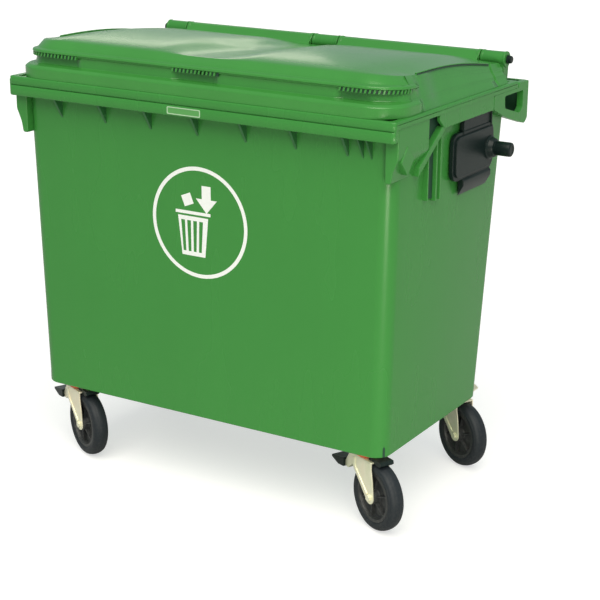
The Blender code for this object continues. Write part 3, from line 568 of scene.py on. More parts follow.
class CONTAINER_OT_tub(bpy.types.Operator):
    """Builds the tub: shell, rim, gussets, buttresses, flanges and hinge ears"""
    bl_idname = "container.tub"
    bl_label = "Tub"

    def execute(self, context):
        green = tub_green()
        bm = bmesh.new()
        rings = [wall_ring(FLOOR_UNDER, 0.008), wall_ring(FOOT_Z + 0.002, 0.008),
                 wall_ring(FOOT_Z, 0.006), wall_ring(FOOT_Z, 0.002), wall_ring(FOOT_Z + 0.002)]
        rings += [wall_ring(z) for z in (0.24, 0.27, 0.40, 0.60, 0.80, 0.95, 1.08, NECK_Z)]
        rings += [wall_ring(RIM_TOP - 0.002, WALL), wall_ring(1.10, WALL), wall_ring(0.70, WALL),
                  wall_ring(0.27, WALL), wall_ring(FLOOR_TOP + 0.004, WALL + 0.001),
                  wall_ring(FLOOR_TOP, WALL + 0.006)]
        add_loft(bm, rings, caps=True)
        make_piece("tub_shell", bm, green, "container", ("tub",))
        self.rim(green)
        self.gussets()
        self.slit_shades()
        self.sides(green)
        self.ledges(green)
        self.ears(green)
        return {"FINISHED"}

    def rim(self, green):
        """The hanging rim: a groove parts its two front bands, and each edge is rounded."""
        line = [(0.020, RIM_TOP - 0.001), (0.004, RIM_TOP), (0.0012, RIM_TOP - 0.0012),
                (0.0, RIM_TOP - 0.004), (0.0, RIM_BAND + 0.0035), (0.0012, RIM_BAND + 0.0015),
                (0.0035, RIM_BAND + 0.001), (0.0035, RIM_BAND - 0.0005),
                (-0.0008, RIM_BAND - 0.001), (-0.002, RIM_BAND - 0.003),
                (-0.002, RIM_FRONT + 0.003), (-0.0008, RIM_FRONT + 0.0006),
                (0.001, RIM_FRONT), (0.003, RIM_FRONT), (0.0045, RIM_FRONT + 0.001),
                (0.0050, RIM_FRONT + 0.004), (0.006, RIM_TOP - 0.010), (0.020, RIM_TOP - 0.008)]
        top, bottom = RIM_TOP, RIM_FRONT
        rings = []
        for inset, z in line:
            share = (top - z) / (top - bottom)
            side_z = top - share * (top - RIM_SIDE)
            rings.append(rim_ring(max(inset, -0.002), z, side_z))
        for ring in rings:
            for index, (x, y, z) in enumerate(ring):
                ring[index] = (max(min(x, RIM[0]), -RIM[0]), y, z)
        bm = bmesh.new()
        add_loft(bm, rings, close=True)
        make_piece("tub_rim", bm, green, "container", angle=50)
        bm = bmesh.new()
        for side in (-1, 1):
            half = RIM[0] - 0.0008
            outline = [(RIM[1] + 0.0030, RIM_FRONT + 0.0008), (RIM[1] + 0.020, RIM_FRONT + 0.004),
                       (RIM[1] + 0.020, RIM_TOP - 0.008), (RIM[1] + 0.0030, RIM_TOP - 0.008)]
            add_side_plate(bm, [outline], side, half - RETURN_DEEP, half)
        make_piece("rim_end_returns", bm, green, "container", bevel=0.0015)

    def gussets(self):
        """Thin triangles that hold the rim's front out from the wall."""
        bm = bmesh.new()
        wall_low, wall_high = wall_at(GUSSET_TIP)[1] + 0.003, wall_at(NECK_Z)[1] + 0.003
        outline = [(wall_low, GUSSET_TIP), (RIM[1] + 0.004, RIM_FRONT + 0.003),
                   (RIM[1] + 0.004, NECK_Z), (wall_high, NECK_Z)]
        places = [(index * GUSSET_PITCH, GUSSET_HALF) for index in range(-3, 4)]
        for x, half in places + [(0.520, 0.002), (0.545, 0.002)]:
            add_plate(bm, [outline], "x", x - half, x + half)
        # The gussets get a deeper green of painted shade, for the rim's shade on them.
        make_piece("rim_gussets", bm, gusset_shade_green(), "container",
                   bevel=0.0010)

    def slit_shades(self):
        """A short drain slit low on each front corner, shown only by a dark plate of painted shade
        on the wall.
        """
        half, front = wall_at(FOOT_Z + 0.015)[:2]
        outline = [(-0.0035, FOOT_Z + 0.001), (0.0035, FOOT_Z + 0.001), (0.0035, FOOT_Z + 0.027),
                   (0.0, FOOT_Z + 0.034), (-0.0035, FOOT_Z + 0.027)]
        bm = bmesh.new()
        for side in (-1, 1):
            slit_shade = bmesh.new()
            add_plate(slit_shade, [outline], "x", WALL_RADIUS - 0.004, WALL_RADIUS + 0.0005)
            turn = SLIT_ANGLE if side > 0 else math.pi - SLIT_ANGLE
            centre = Vector((side * (half - WALL_RADIUS), front + WALL_RADIUS, 0))
            slit_shade.transform(Matrix.Translation(centre) @ Matrix.Rotation(turn, 4, "Z"))
            merge_into(bm, slit_shade)
        make_piece("corner_slit_shades", bm, painted_shade_green(), "container")

    def sides(self, green):
        """Buttresses at the front corners, and the flange, strut and ribs behind them, with dark
        plates of painted shade in the pockets between strut and ribs.
        """
        top = NECK_Z + 0.002
        for side, label in SIDES:
            bm = bmesh.new()
            buttress = fillet([(0.592, top), (0.6305, top), (0.6305, 1.072), (0.6150, 1.036),
                               (0.6095, 1.004), (0.592, 1.004)], 0.006)
            add_plate(bm, [mirror(buttress, side)], "y", -0.3875, -0.215)
            make_piece("corner_buttress_" + label, bm, green, "container",
                       bevel=0.0035)
            bm = bmesh.new()
            boss = fillet([(-0.372, 1.060), (-0.338, 1.100), (-0.300, 1.062),
                           (-0.336, 1.020)], 0.005)
            add_side_plate(bm, [boss], side, 0.606, 0.6325)
            make_piece("buttress_boss_" + label, bm, green, "container",
                       bevel=0.0025)
            bm = bmesh.new()
            flange = fillet([(FLANGE_FRONT, top), (FLANGE_FRONT, FLANGE_LOW + 0.025),
                             (FLANGE_FRONT + 0.030, FLANGE_LOW), (FLANGE_REAR, FLANGE_LOW),
                             (FLANGE_REAR, top)], 0.004)
            add_side_plate(bm, [flange], side, 0.6215, 0.6318)
            strut = [(-0.268, 1.004), (-0.266, 1.029), (-0.136, 1.116), (-0.104, 1.116)]
            add_side_plate(bm, [strut], side, 0.6045, 0.6295)
            make_piece("side_flange_" + label, bm, green, "container",
                       bevel=0.0016)
            bm = bmesh.new()
            for front, rear, foot, head in RIBS:
                rib = [(front, foot), (rear, foot), (rear, head), (front, head - 0.004)]
                add_side_plate(bm, [rib], side, 0.600, 0.6235)
            make_piece("side_ribs_" + label, bm, green, "container",
                       bevel=0.0012)
            # Dark plates of painted shade stand for the deep pockets between the strut and the
            # ribs.
            bm = bmesh.new()
            for pocket_shade in POCKET_SHADES:
                add_side_plate(bm, [pocket_shade], side, 0.600, 0.6128)
            make_piece("side_pocket_shades_" + label, bm, painted_shade_green(), "container",
                       bevel=0.0006)

    def ledges(self, green):
        """Moulded pads over the rear castors."""
        bm = bmesh.new()
        for side in (-1, 1):
            plan = fillet([(side * 0.4375, 0.238), (side * 0.551, 0.238), (side * 0.551, 0.276),
                           (side * 0.531, 0.296), (side * 0.4375, 0.296)], 0.006)
            add_plate(bm, [plan], "z", FLOOR_UNDER + 0.0004, FLOOR_TOP + 0.030)
        make_piece("castor_ledges", bm, green, "container", bevel=0.004)

    def ears(self, green):
        """Posts with barrels that carry the hinge rod; each barrel has a collar at its ends."""
        bm = bmesh.new()
        for low, high in EARS:
            post = [(HINGE_Y - 0.014, RIM_TOP - 0.004), (HINGE_Y + 0.0122, RIM_TOP - 0.004),
                    (HINGE_Y + 0.018, HINGE_Z - 0.002), (HINGE_Y - 0.019, HINGE_Z - 0.002)]
            add_plate(bm, [post], "x", low + 0.003, high - 0.003)
            add_barrel(bm, low, high, 0.006)
        make_piece("hinge_ears", bm, green, "container", bevel=0.0008)


def add_barrel(bm, low, high, collar):
    """A hollow hinge barrel along X with a slightly thinner waist between two collars."""
    waist = BARREL - 0.0013
    bore = 0.0075
    length = high - low
    profile = [(bore, 0), (BARREL - 0.0012, 0), (BARREL, 0.0012), (BARREL, collar),
               (waist, collar + 0.0014), (waist, length - collar - 0.0014),
               (BARREL, length - collar), (BARREL, length - 0.0012),
               (BARREL - 0.0012, length), (bore, length)]
    add_turned(bm, profile, along_x(low, HINGE_Y, HINGE_Z), 40)


# ---------------------------------------------------------------- fittings on the tub
BRACKET_IN, PIN_START = 0.6138, 0.6320      # inner face of a bracket, and where its pin begins
SPINE_YS = (0.000, 0.178)


class CONTAINER_OT_fittings(bpy.types.Operator):
    """Builds the hand loops, trunnions, hinge caps, drain plug and label plate"""
    bl_idname = "container.fittings"
    bl_label = "Fittings"

    def execute(self, context):
        for side, label in SIDES:
            self.handle(side, label)
            self.trunnion(side, label)
            self.cap(side, label)
        self.label_plate()
        self.drain()
        repaint(("hinge_rod",), steel())
        return {"FINISHED"}

    def handle(self, side, label):
        """A hand loop at a rear corner, with a wing across the back of its opening and a dark
        plate of painted shade on the wing's front.
        """
        node = "rear_handle_" + label
        low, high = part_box(node)
        outer = [(low.y, RIM_SIDE - 0.0005), (low.y, 1.110), (0.2725, 1.0725), (0.396, 1.038),
                 (high.y, 1.052), (high.y, high.z), (0.352, high.z), (0.346, RIM_SIDE - 0.0005)]
        loop = [(0.2505, 1.1385), (0.2550, 1.1030), (0.3560, 1.0750), (0.3785, 1.0865),
                (0.3785, 1.1385)]
        bm = bmesh.new()
        add_side_plate(bm, [fillet(outer, 0.007), fillet(loop, 0.008)], side, 0.6135, 0.6325)
        wing, reach = sorted((abs(low.x), abs(high.x)))
        shape = self.wing_outline(side, wing, reach - 0.004, 1.0565, 1.1625)
        add_plate(bm, [shape], "y", high.y - 0.0115, high.y)
        make_piece("hand_loop_" + label, bm, tub_green(), "container", (node,),
                   bevel=0.0022)
        # A thin dark plate of painted shade on the wing's front face, behind the loop's opening.
        bm = bmesh.new()
        shape = self.wing_outline(side, wing + 0.002, reach - 0.006, 1.0585, 1.1605)
        add_plate(bm, [shape], "y", high.y - 0.0125, high.y - 0.0105)
        make_piece("hand_loop_wing_shade_" + label, bm, painted_shade_green(), "container")

    def wing_outline(self, side, inner, outer, foot, head):
        """The short plate behind the loop, as a rounded rectangle in x and z."""
        near, far = sorted((side * inner, side * outer))
        return fillet([(near, foot), (far, foot), (far, head), (near, head)], 0.008)

    def trunnion(self, side, label):
        """A spine and a cushioned plate on the side wall, and the pin it carries."""
        black = black_plastic()
        bracket, pin = "trunnion_bracket_" + label, "trunnion_pin_" + label
        low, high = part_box(bracket)
        bm = bmesh.new()
        spine = [(BRACKET_IN, 1.1085), (0.6235, 1.1085), (0.6235, 0.950), (0.6310, 0.940),
                 (0.6310, 0.926), (BRACKET_IN, 0.897)]
        add_plate(bm, [mirror(spine, side)], "y", *SPINE_YS)
        make_piece("trunnion_spine_" + label, bm, black, "container",
                   (bracket,), bevel=0.0022)
        bm = bmesh.new()
        for inset, inner, outer, radius in ((0.0, BRACKET_IN, 0.6262, 0.034),
                                            (0.010, 0.6240, 0.6318, 0.026)):
            plate = fillet([(low.y + inset, 0.944 + inset), (high.y - inset, 0.944 + inset),
                            (high.y - inset, 1.078 - inset), (low.y + inset, 1.078 - inset)],
                           radius, 8)
            add_side_plate(bm, [plate], side, inner, outer)
        for y in SPINE_YS:
            ridge = [(y - 0.002, 1.060), (y + 0.002, 1.060), (y + 0.002, 1.1075),
                     (y - 0.002, 1.1075)]
            add_side_plate(bm, [ridge], side, 0.6230, 0.6285)
        make_piece("trunnion_plate_" + label, bm, black, "container",
                   bevel=0.0022)
        bm = bmesh.new()
        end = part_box(pin)[1].x if side > 0 else -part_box(pin)[0].x
        reach = end - PIN_START
        profile = [(0.0001, -0.002), (0.034, -0.002), (0.034, 0.002), (0.0325, 0.0040),
                   (0.0300, 0.0055), (0.0265, 0.0160), (0.0250, 0.0185), (0.0215, 0.0195),
                   (0.0200, 0.0200), (0.0200, 0.0225), (0.0205, 0.0235), (0.0205, reach - 0.0055),
                   (0.0196, reach - 0.0022), (0.0172, reach - 0.0004), (0.0140, reach),
                   (0.0120, reach), (0.0112, reach - 0.0012), (0.0001, reach - 0.0012)]
        middle = (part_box(pin)[0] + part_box(pin)[1]) / 2
        add_turned(bm, profile, along_x(side * PIN_START, middle.y, middle.z, side), 56)
        make_piece("lifting_pin_" + label, bm, black, "container", (pin,))

    def cap(self, side, label):
        """The black cap on one end of the hinge rod."""
        node = "hinge_cap_" + label
        low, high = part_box(node)
        middle = (low + high) / 2
        start = low.x if side > 0 else high.x
        length = high.x - low.x
        radius = (high.z - low.z) / 2
        bm = bmesh.new()
        profile = [(0.0001, 0), (radius, 0), (radius, 0.003), (radius - 0.0015, 0.0042),
                   (radius - 0.0015, length - 0.002), (radius - 0.0035, length),
                   (0.0001, length)]
        add_turned(bm, profile, along_x(start, middle.y, middle.z, side), 40)
        make_piece("rod_cap_" + label, bm, black_plastic(), "container",
                   (node,))

    def label_plate(self):
        low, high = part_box("label_plate")
        bm = bmesh.new()
        frame_line = fillet([(low.x, low.z), (high.x, low.z), (high.x, high.z),
                             (low.x, high.z)], 0.004)
        inner = fillet([(low.x + 0.003, low.z + 0.003), (high.x - 0.003, low.z + 0.003),
                        (high.x - 0.003, high.z - 0.003), (low.x + 0.003, high.z - 0.003)], 0.003)
        add_plate(bm, [inner], "y", low.y + 0.0006, high.y)
        make_piece("rim_plate", bm, plate_plastic(), "container",
                   ("label_plate",), bevel=0.0003)
        bm = bmesh.new()
        add_plate(bm, [frame_line, inner], "y", low.y, high.y)
        make_piece("rim_plate_edge", bm, plate_edge(), "container",
                   bevel=0.0003)

    def drain(self):
        low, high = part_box("drain_plug")
        middle = (low + high) / 2
        radius = (high.x - low.x) / 2
        bm = bmesh.new()
        height = high.z - low.z
        profile = [(0.0001, 0.0004), (0.010, 0.0004), (0.011, 0), (radius - 0.001, 0),
                   (radius, 0.001), (radius, 0.003), (radius - 0.004, 0.004),
                   (radius - 0.004, height), (0.0001, height)]
        add_turned(bm, profile, Matrix.Translation((middle.x, middle.y, low.z)), 48)
        make_piece("drain_stopper", bm, black_plastic(), "container",
                   ("drain_plug",))
        repaint(("drain_gasket",), gasket_rubber())


def repaint(nodes, surface):
    """Give CAD nodes a finished material, leaving their shape alone."""
    for node in nodes:
        piece = frame["nodes"][node]
        for slot in piece.material_slots:
            slot.material = surface


# ---------------------------------------------------------------- printed mark
RING_LINE, PRINT_PROUD, PRINT_DEPTH = 0.011, 0.0004, 0.0003


class CONTAINER_OT_mark(bpy.types.Operator):
    """Prints a plain ring with a bin and a falling arrow on the front wall"""
    bl_idname = "container.mark"
    bl_label = "Printed mark"

    def execute(self, context):
        radius = settings().mark_radius
        ring = []
        for size in (radius, radius - RING_LINE):
            ring.append([(size * math.cos(2 * math.pi * step / 96),
                          size * math.sin(2 * math.pi * step / 96)) for step in range(96)])
        basket = [(-0.072, 0.016), (0.030, 0.016), (0.018, -0.098), (-0.060, -0.098)]
        slots = [[(-0.062 + 0.0205 * i, 0.004), (-0.049 + 0.0205 * i, 0.004),
                  (-0.0465 + 0.0175 * i, -0.086), (-0.0560 + 0.0175 * i, -0.086)]
                 for i in range(4)]
        arrow = [(0.010, 0.108), (0.040, 0.108), (0.040, 0.070), (0.060, 0.070),
                 (0.025, 0.030), (-0.010, 0.070), (0.010, 0.070)]
        square = [(-0.060, 0.072), (-0.030, 0.084), (-0.018, 0.054), (-0.048, 0.042)]
        lip = [(-0.080, 0.022), (0.038, 0.022), (0.038, 0.031), (-0.080, 0.031)]
        bm = bmesh.new()
        for shape in (ring, [basket] + slots, [arrow], [square], [lip]):
            self.print_shape(bm, shape)
        make_piece("printed_ring", bm, printed_mark(), "container")
        return {"FINISHED"}

    def print_shape(self, bm, outlines):
        """Lay a flat shape on the leaning front wall, a little proud of it."""
        height = settings().mark_height
        loops = [[(u, wall_at(height + v)[1] - PRINT_PROUD, height + v) for u, v in outline]
                 for outline in outlines]
        thicken(bm, fill_loops(bm, loops)[1], Vector((0, PRINT_DEPTH, 0)))


# ---------------------------------------------------------------- lid
SIDE_STOPS = (0.262, 0.246, 0.238, LID_GROOVE + 0.007, LID_GROOVE + 0.005,
              LID_GROOVE - 0.005, LID_GROOVE - 0.007, 0.190, 0.140, 0.080, 0.020, -0.050,
              -0.120, -0.163, -0.171, -0.222, LID_POST + 0.004, LID_POST - 0.004,
              -0.268, -0.290)
LID_SKIN, LID_SIDE_SKIN = 0.0045, 0.0048        # thickness of the top and of the sides
DOME_SCALES = (0.985, 0.965, 0.935, 0.895, 0.845, 0.785, 0.71, 0.62, 0.52, 0.41, 0.30, 0.19,
               0.09, 0.03)
VALLEY_RISE, PILLOW_RISE = 0.002, 0.0252
# Rows of teeth: where along the front a row starts, its number of teeth, and its side
COMB_ROWS = ((0.455, 18, 1), (0.405, 16, -1), (-0.070, 12, 1))
COMB_FRONT_TOP, COMB_REAR_TOP, TOOTH_HIGH, TOOTH_LEAN = 1.2405, 1.2045, 0.0105, 0.003


def soften(steps, radius):
    """Round the corners of the lid's stepped section."""
    made = [steps[0]]
    for before, here, after in zip(steps, steps[1:], steps[2:]):
        p0, p1, p2 = Vector(before[:4]), Vector(here[:4]), Vector(after[:4])
        back, ahead = p0 - p1, p2 - p1
        start = p1 + back * min(0.45, radius / back.length)
        end = p1 + ahead * min(0.45, radius / ahead.length)
        for t in (0.0, 0.33, 0.67, 1.0):
            point = start * (1 - t) ** 2 + p1 * 2 * t * (1 - t) + end * t ** 2
            made.append((*point, here[4]))
    made.append(steps[-1])
    return made


def swell(x, y, front):
    """Rise of the two pillows over the lid's top edge, and of the arch along each side."""
    depth = min(max((y - front) / (LID_REAR - front), 0.0), 1.0)
    side = 1.0 - ease(abs(x), 0.47, 0.592)
    pillow = ease(abs(x), 0.015, 0.165) * side
    return math.sin(math.pi * depth) ** 0.55 * (VALLEY_RISE * side + PILLOW_RISE * pillow)


def arch(x, y, share):
    """The side panels rise a little in their middle."""
    reach = min(max((y - LID_POST) / (LID_GROOVE - LID_POST), 0.0), 1.0)
    return 0.012 * share * math.sin(math.pi * reach) * ease(abs(x), 0.50, 0.585)


def lid_ring(step, wall=0.0, scale=1.0):
    half, front, front_z, rear_z, recess = step
    outline = plan_ring(half - wall, front + wall, LID_REAR - wall, LID_RADIUS - wall,
                        LID_REAR_RADIUS - wall, SIDE_STOPS, across=96, arc=12)
    share = (front_z - LID_FOOT) / (LID_STEPS[-1][2] - LID_FOOT)
    flush = 0.6225 - 0.030 * share - wall
    middle = (front + LID_REAR) / 2
    ring = []
    for x, y in outline:
        if y > LID_POST:
            sunk = 0.006 if abs(y - LID_GROOVE) < 0.006 and 0.12 < share else 0.0
            sunk += 0.003 * ease(y, -0.170, -0.164) * ease(share, 0.10, 0.16)
            limit = flush - sunk
            if abs(x) > half - wall - 0.004:
                x = math.copysign(limit, x)
            x = max(min(x, limit), -limit)
        if recess and y < front + 0.06:
            for low, high in GRIPS:
                inside = ease(x, low - 0.004, low + 0.008)
                inside *= 1 - ease(x, high - 0.008, high + 0.004)
                y += 0.010 * inside * (1.0 if abs(x) < 0.53 else 0.6)
        x, y = x * scale, middle + (y - middle) * scale
        depth = (y - front) / (LID_REAR - front)
        z = front_z + (rear_z - front_z) * depth + arch(x, y, share)
        if scale < 1.0:
            z += swell(x, y, front)
        ring.append((x, y, z))
    return ring


class CONTAINER_OT_lid(bpy.types.Operator):
    """Builds the lid: stepped rim, two soft pillows, grip combs and hinge barrels"""
    bl_idname = "container.lid"
    bl_label = "Lid"

    def execute(self, context):
        green = lid_green()
        steps = soften(LID_STEPS, 0.0030)
        outer = [lid_ring(step) for step in steps]
        outer += [lid_ring(steps[-1], scale=scale) for scale in DOME_SCALES]
        inner = []
        for half, front, front_z, rear_z, recess in steps:
            low = 0.0 if front_z < LID_FOOT + 0.004 else LID_SKIN
            inner.append(lid_ring((half, front, front_z - low, rear_z - low, recess),
                                  LID_SIDE_SKIN))
        half, front, front_z, rear_z, recess = steps[-1]
        top = (half, front, front_z - LID_SKIN, rear_z - LID_SKIN, 0)
        inner += [lid_ring(top, scale=scale) for scale in DOME_SCALES]
        bm = bmesh.new()
        add_loft(bm, list(reversed(outer)) + inner, caps=True)
        make_piece("lid_shell", bm, green, "lid", ("lid",), angle=60)
        self.combs(green)
        self.barrels(green)
        self.edges(green)
        return {"FINISHED"}

    def combs(self, green):
        """Rows of teeth under the front lip, each corner's row wrapping it, with dark plates of
        painted shade in the gaps.
        """
        half, front = LID_STEPS[5][0] - 0.0015, LID_STEPS[5][1] + 0.0015
        pitch = settings().tooth_pitch
        teeth, gap_shades = bmesh.new(), bmesh.new()
        for start, count, side in COMB_ROWS:
            for index in range(count):
                reach = start + pitch * index
                self.tooth(teeth, self.tooth_place(reach, side, half, front), 0.0030, 0.0)
                self.tooth(gap_shades, self.tooth_place(reach + pitch / 2, side, half, front),
                           pitch / 2, 0.0035)
        make_piece("grip_combs", teeth, green, "lid", bevel=0.0008, segments=2)
        # The gaps between the teeth are dark plates of painted shade.
        make_piece("grip_gap_shades", gap_shades, painted_shade_green(), "lid")

    def tooth_place(self, reach, side, half, front):
        """The spot and outward angle at a distance along the front, wrapping the corner."""
        radius = LID_RADIUS
        corner = half - radius
        if reach <= corner:
            return Vector((side * reach, front, 0)), 0.0
        angle = (reach - corner) / radius
        if angle > math.pi / 2:
            extra = reach - corner - radius * math.pi / 2
            return Vector((side * half, front + radius + extra, 0)), side * math.pi / 2
        x = corner + radius * math.sin(angle)
        y = front + radius - radius * math.cos(angle)
        return Vector((side * x, y, 0)), side * angle

    def tooth(self, bm, place, width, sunk):
        """One slanting tooth, or the dark plate of painted shade in the gap beside it, sunk a
        little behind the teeth.
        """
        spot, angle = place
        depth = (spot.y - LID_STEPS[5][1]) / (LID_REAR - LID_STEPS[5][1])
        top = COMB_FRONT_TOP + (COMB_REAR_TOP - COMB_FRONT_TOP) * depth
        low = top - TOOTH_HIGH
        outline = [(-width - TOOTH_LEAN, low), (width - TOOTH_LEAN, low), (width, top),
                   (-width, top)]
        made = bmesh.new()
        add_plate(made, [outline], "y", sunk, 0.014)
        made.transform(Matrix.Translation(spot) @ Matrix.Rotation(angle, 4, "Z"))
        merge_into(bm, made)

    def barrels(self, green):
        """The two long hinge barrels, each on a web from the lid's rear edge."""
        bm = bmesh.new()
        for low, high in LID_BARRELS:
            add_barrel(bm, low, high, 0.010)
            web = [(LID_REAR - 0.004, 1.190), (HINGE_Y - 0.004, HINGE_Z - 0.0215),
                   (HINGE_Y - 0.002, HINGE_Z + 0.0215), (HINGE_Y - 0.012, HINGE_Z + 0.0195),
                   (LID_REAR - 0.006, 1.2215)]
            add_plate(bm, [web], "x", low + 0.002, high - 0.002)
        make_piece("lid_barrels", bm, green, "lid", bevel=0.0008)

    def edges(self, green):
        """A raised bead along the top of each side panel, and under it a dark strip of painted
        shade for a groove.
        """
        bm = bmesh.new()
        for side in (-1, 1):
            points = []
            for step in range(25):
                y = -0.225 + 0.44 * step / 24
                depth = (y - LID_STEPS[-1][1]) / (LID_REAR - LID_STEPS[-1][1])
                z = 1.272 + (1.223 - 1.272) * depth + arch(0.592, y, 1.0)
                points.append((y, z))
            top = [(y, z + 0.0035) for y, z in points]
            outline = points + top[::-1]
            add_side_plate(bm, [outline], side, 0.5865, 0.5925)
        make_piece("lid_side_beads", bm, green, "lid", bevel=0.0015)
        # Dark strips of painted shade under the beads, standing for grooves.
        bm = bmesh.new()
        for side in (-1, 1):
            outline = [(y, z - 0.0032) for y, z in points] + [(y, z) for y, z in points[::-1]]
            add_side_plate(bm, [outline], side, 0.586, 0.5938)
        make_piece("lid_side_groove_shades", bm, painted_shade_green(), "lid")


# ---------------------------------------------------------------- castors
def castor_frame(corner):
    """Matrix whose origin is under the kingpin, with +X along the trail."""
    pivot = Vector(JOINTS["swivel_" + corner]["pos_m"])
    axle = Vector(JOINTS["spin_" + corner]["pos_m"])
    angle = math.atan2(axle.y - pivot.y, axle.x - pivot.x)
    return Matrix.Translation((pivot.x, pivot.y, 0)) @ Matrix.Rotation(angle, 4, "Z")


def leg_outline():
    """One leg of a fork from the side: wide at the crown, round about the axle."""
    foot = 0.0185
    outline = [(TRAIL - 0.084, CROWN_HIGH - 0.001), (TRAIL - 0.084, 0.168)]
    for step in range(13):
        angle = math.radians(205 + 160 * step / 12)
        outline.append((TRAIL + foot * math.cos(angle), WHEEL + foot * math.sin(angle)))
    outline += [(TRAIL + 0.0130, 0.150), (TRAIL + 0.006, 0.185),
                (TRAIL + 0.006, CROWN_HIGH - 0.001)]
    return outline


class CONTAINER_OT_castors(bpy.types.Operator):
    """Builds forks, axle bolts, wheels, tyres and the front foot brakes"""
    bl_idname = "container.castors"
    bl_label = "Castors"

    def execute(self, context):
        for corner in CORNERS:
            place = castor_frame(corner)
            self.fork(corner, place)
            self.wheel(corner, place)
            self.seat(corner)
            repaint(("wheel_bush_" + corner,), nylon())
            repaint(("castor_plate_" + corner,), zinc())
            repaint(("kingpin_" + corner, "axle_nut_" + corner, "axle_bolt_" + corner), zinc())
        for corner in CORNERS[:2]:
            repaint(("brake_arm_" + corner,), zinc())
            repaint(("brake_pedal_" + corner, "brake_shoe_" + corner), black_plastic())
        return {"FINISHED"}

    def fork(self, corner, place):
        """Two ribbed legs under a flat crown."""
        bm = bmesh.new()
        for side in (-1, 1):
            add_side_plate(bm, [leg_outline()], side, LEG_IN, LEG_OUT, axis="y")
            rib = [(TRAIL - 0.081, 0.196), (TRAIL - 0.081, 0.170), (TRAIL - 0.014, 0.104),
                   (TRAIL - 0.0085, 0.110), (TRAIL - 0.070, 0.172), (TRAIL - 0.070, 0.196)]
            add_side_plate(bm, [fillet(rib, 0.004)], side, LEG_OUT - 0.001, LEG_OUT + 0.0022,
                           axis="y")
        crown = fillet([(TRAIL - 0.084, -LEG_OUT), (TRAIL + 0.006, -LEG_OUT),
                        (TRAIL + 0.006, LEG_OUT), (TRAIL - 0.084, LEG_OUT)], 0.004)
        add_plate(bm, [crown], "z", CROWN_LOW, CROWN_HIGH)
        bm.transform(place)
        make_piece("fork_" + corner, bm, zinc(), "castor_" + corner,
                   ("castor_fork_" + corner,), bevel=0.0014)

    def seat(self, corner):
        """The orange dust ring between the fork's crown and the top plate."""
        node = "dust_ring_" + corner
        low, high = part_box(node)
        middle = (low + high) / 2
        radius, height = (high.x - low.x) / 2, high.z - low.z
        bm = bmesh.new()
        profile = [(0.018, 0), (radius - 0.0008, 0), (radius, 0.0008), (radius, height - 0.003),
                   (radius - 0.001, height - 0.0015), (radius - 0.003, height), (0.018, height)]
        add_turned(bm, profile, Matrix.Translation((middle.x, middle.y, low.z)), 48)
        make_piece("ring_" + corner, bm, seal_plastic(), "container", (node,))

    def wheel(self, corner, place):
        """A rounded tyre on a spoked centre."""
        axle = place @ Matrix.Translation((TRAIL, 0, WHEEL)) @ Matrix.Rotation(math.pi / 2, 4, "X")
        bm = bmesh.new()
        side = [(0.0743, 0.0205), (0.0765, 0.0228), (0.0800, 0.0238), (0.0850, 0.0240),
                (0.0885, 0.0232), (0.0893, 0.0222), (0.0905, 0.0222), (0.0930, 0.0205),
                (0.0958, 0.0175), (0.0978, 0.0135), (0.0990, 0.0090), (0.0990, 0.0078),
                (0.0996, 0.0068), (0.1000, 0.0020)]
        profile = side + [(r, -h) for r, h in reversed(side)]
        add_turned(bm, profile, axle, 72)
        make_piece("tread_" + corner, bm, tyre_rubber(), "wheel_" + corner,
                   ("tyre_" + corner,))
        bm = bmesh.new()
        half = [(0.0083, 0.0262), (0.0185, 0.0262), (0.0200, 0.0250), (0.0215, 0.0110),
                (0.0240, 0.0085), (0.0590, 0.0060), (0.0620, 0.0080), (0.0645, 0.0195),
                (0.0655, 0.0205), (0.0738, 0.0205)]
        profile = half + [(r, -h) for r, h in reversed(half)]
        add_turned(bm, profile, axle, 72)
        spokes = settings().wheel_spokes
        for index in range(spokes):
            for face in (-1, 1):
                rib = bmesh.new()
                add_plate(rib, [[(0.017, face * 0.006), (0.063, face * 0.004),
                                 (0.063, face * 0.0150), (0.017, face * 0.0205)]],
                          "y", -0.0016, 0.0016)
                turn = Matrix.Rotation(2 * math.pi * (index + 0.3) / spokes, 4, "Z")
                rib.transform(axle @ turn)
                merge_into(bm, rib)
        make_piece("hub_" + corner, bm, wheel_plastic(), "wheel_" + corner,
                   ("wheel_centre_" + corner,))


# ---------------------------------------------------------------- stage
FLOOR_GLOW, FILL_STRENGTH = 0.56, 0.42
SUN_SPOT, SUN_POWER, SUN_ANGLE = (1.35, -2.5, 4.0), 2.75, math.radians(58)
# Soft boxes: name, place, target, width, height, power
SOFT_BOXES = (("rear_box", (-3.1, 3.7, 2.3), (0, 0, 1.25), 1.9, 0.5, 5),
              ("low_box", (2.3, -2.1, 0.45), (0.6, -0.2, 0.15), 0.9, 0.5, 17))
CAMERA_SPOT, CAMERA_LENS, CAMERA_SHIFT = (2.4587, -3.8525, 1.9373), 94.44, (-0.05, 0.05)
CAMERA_YAW, CAMERA_PITCH, CAMERA_ROLL = 0.5283, 0.3257, 0.0119


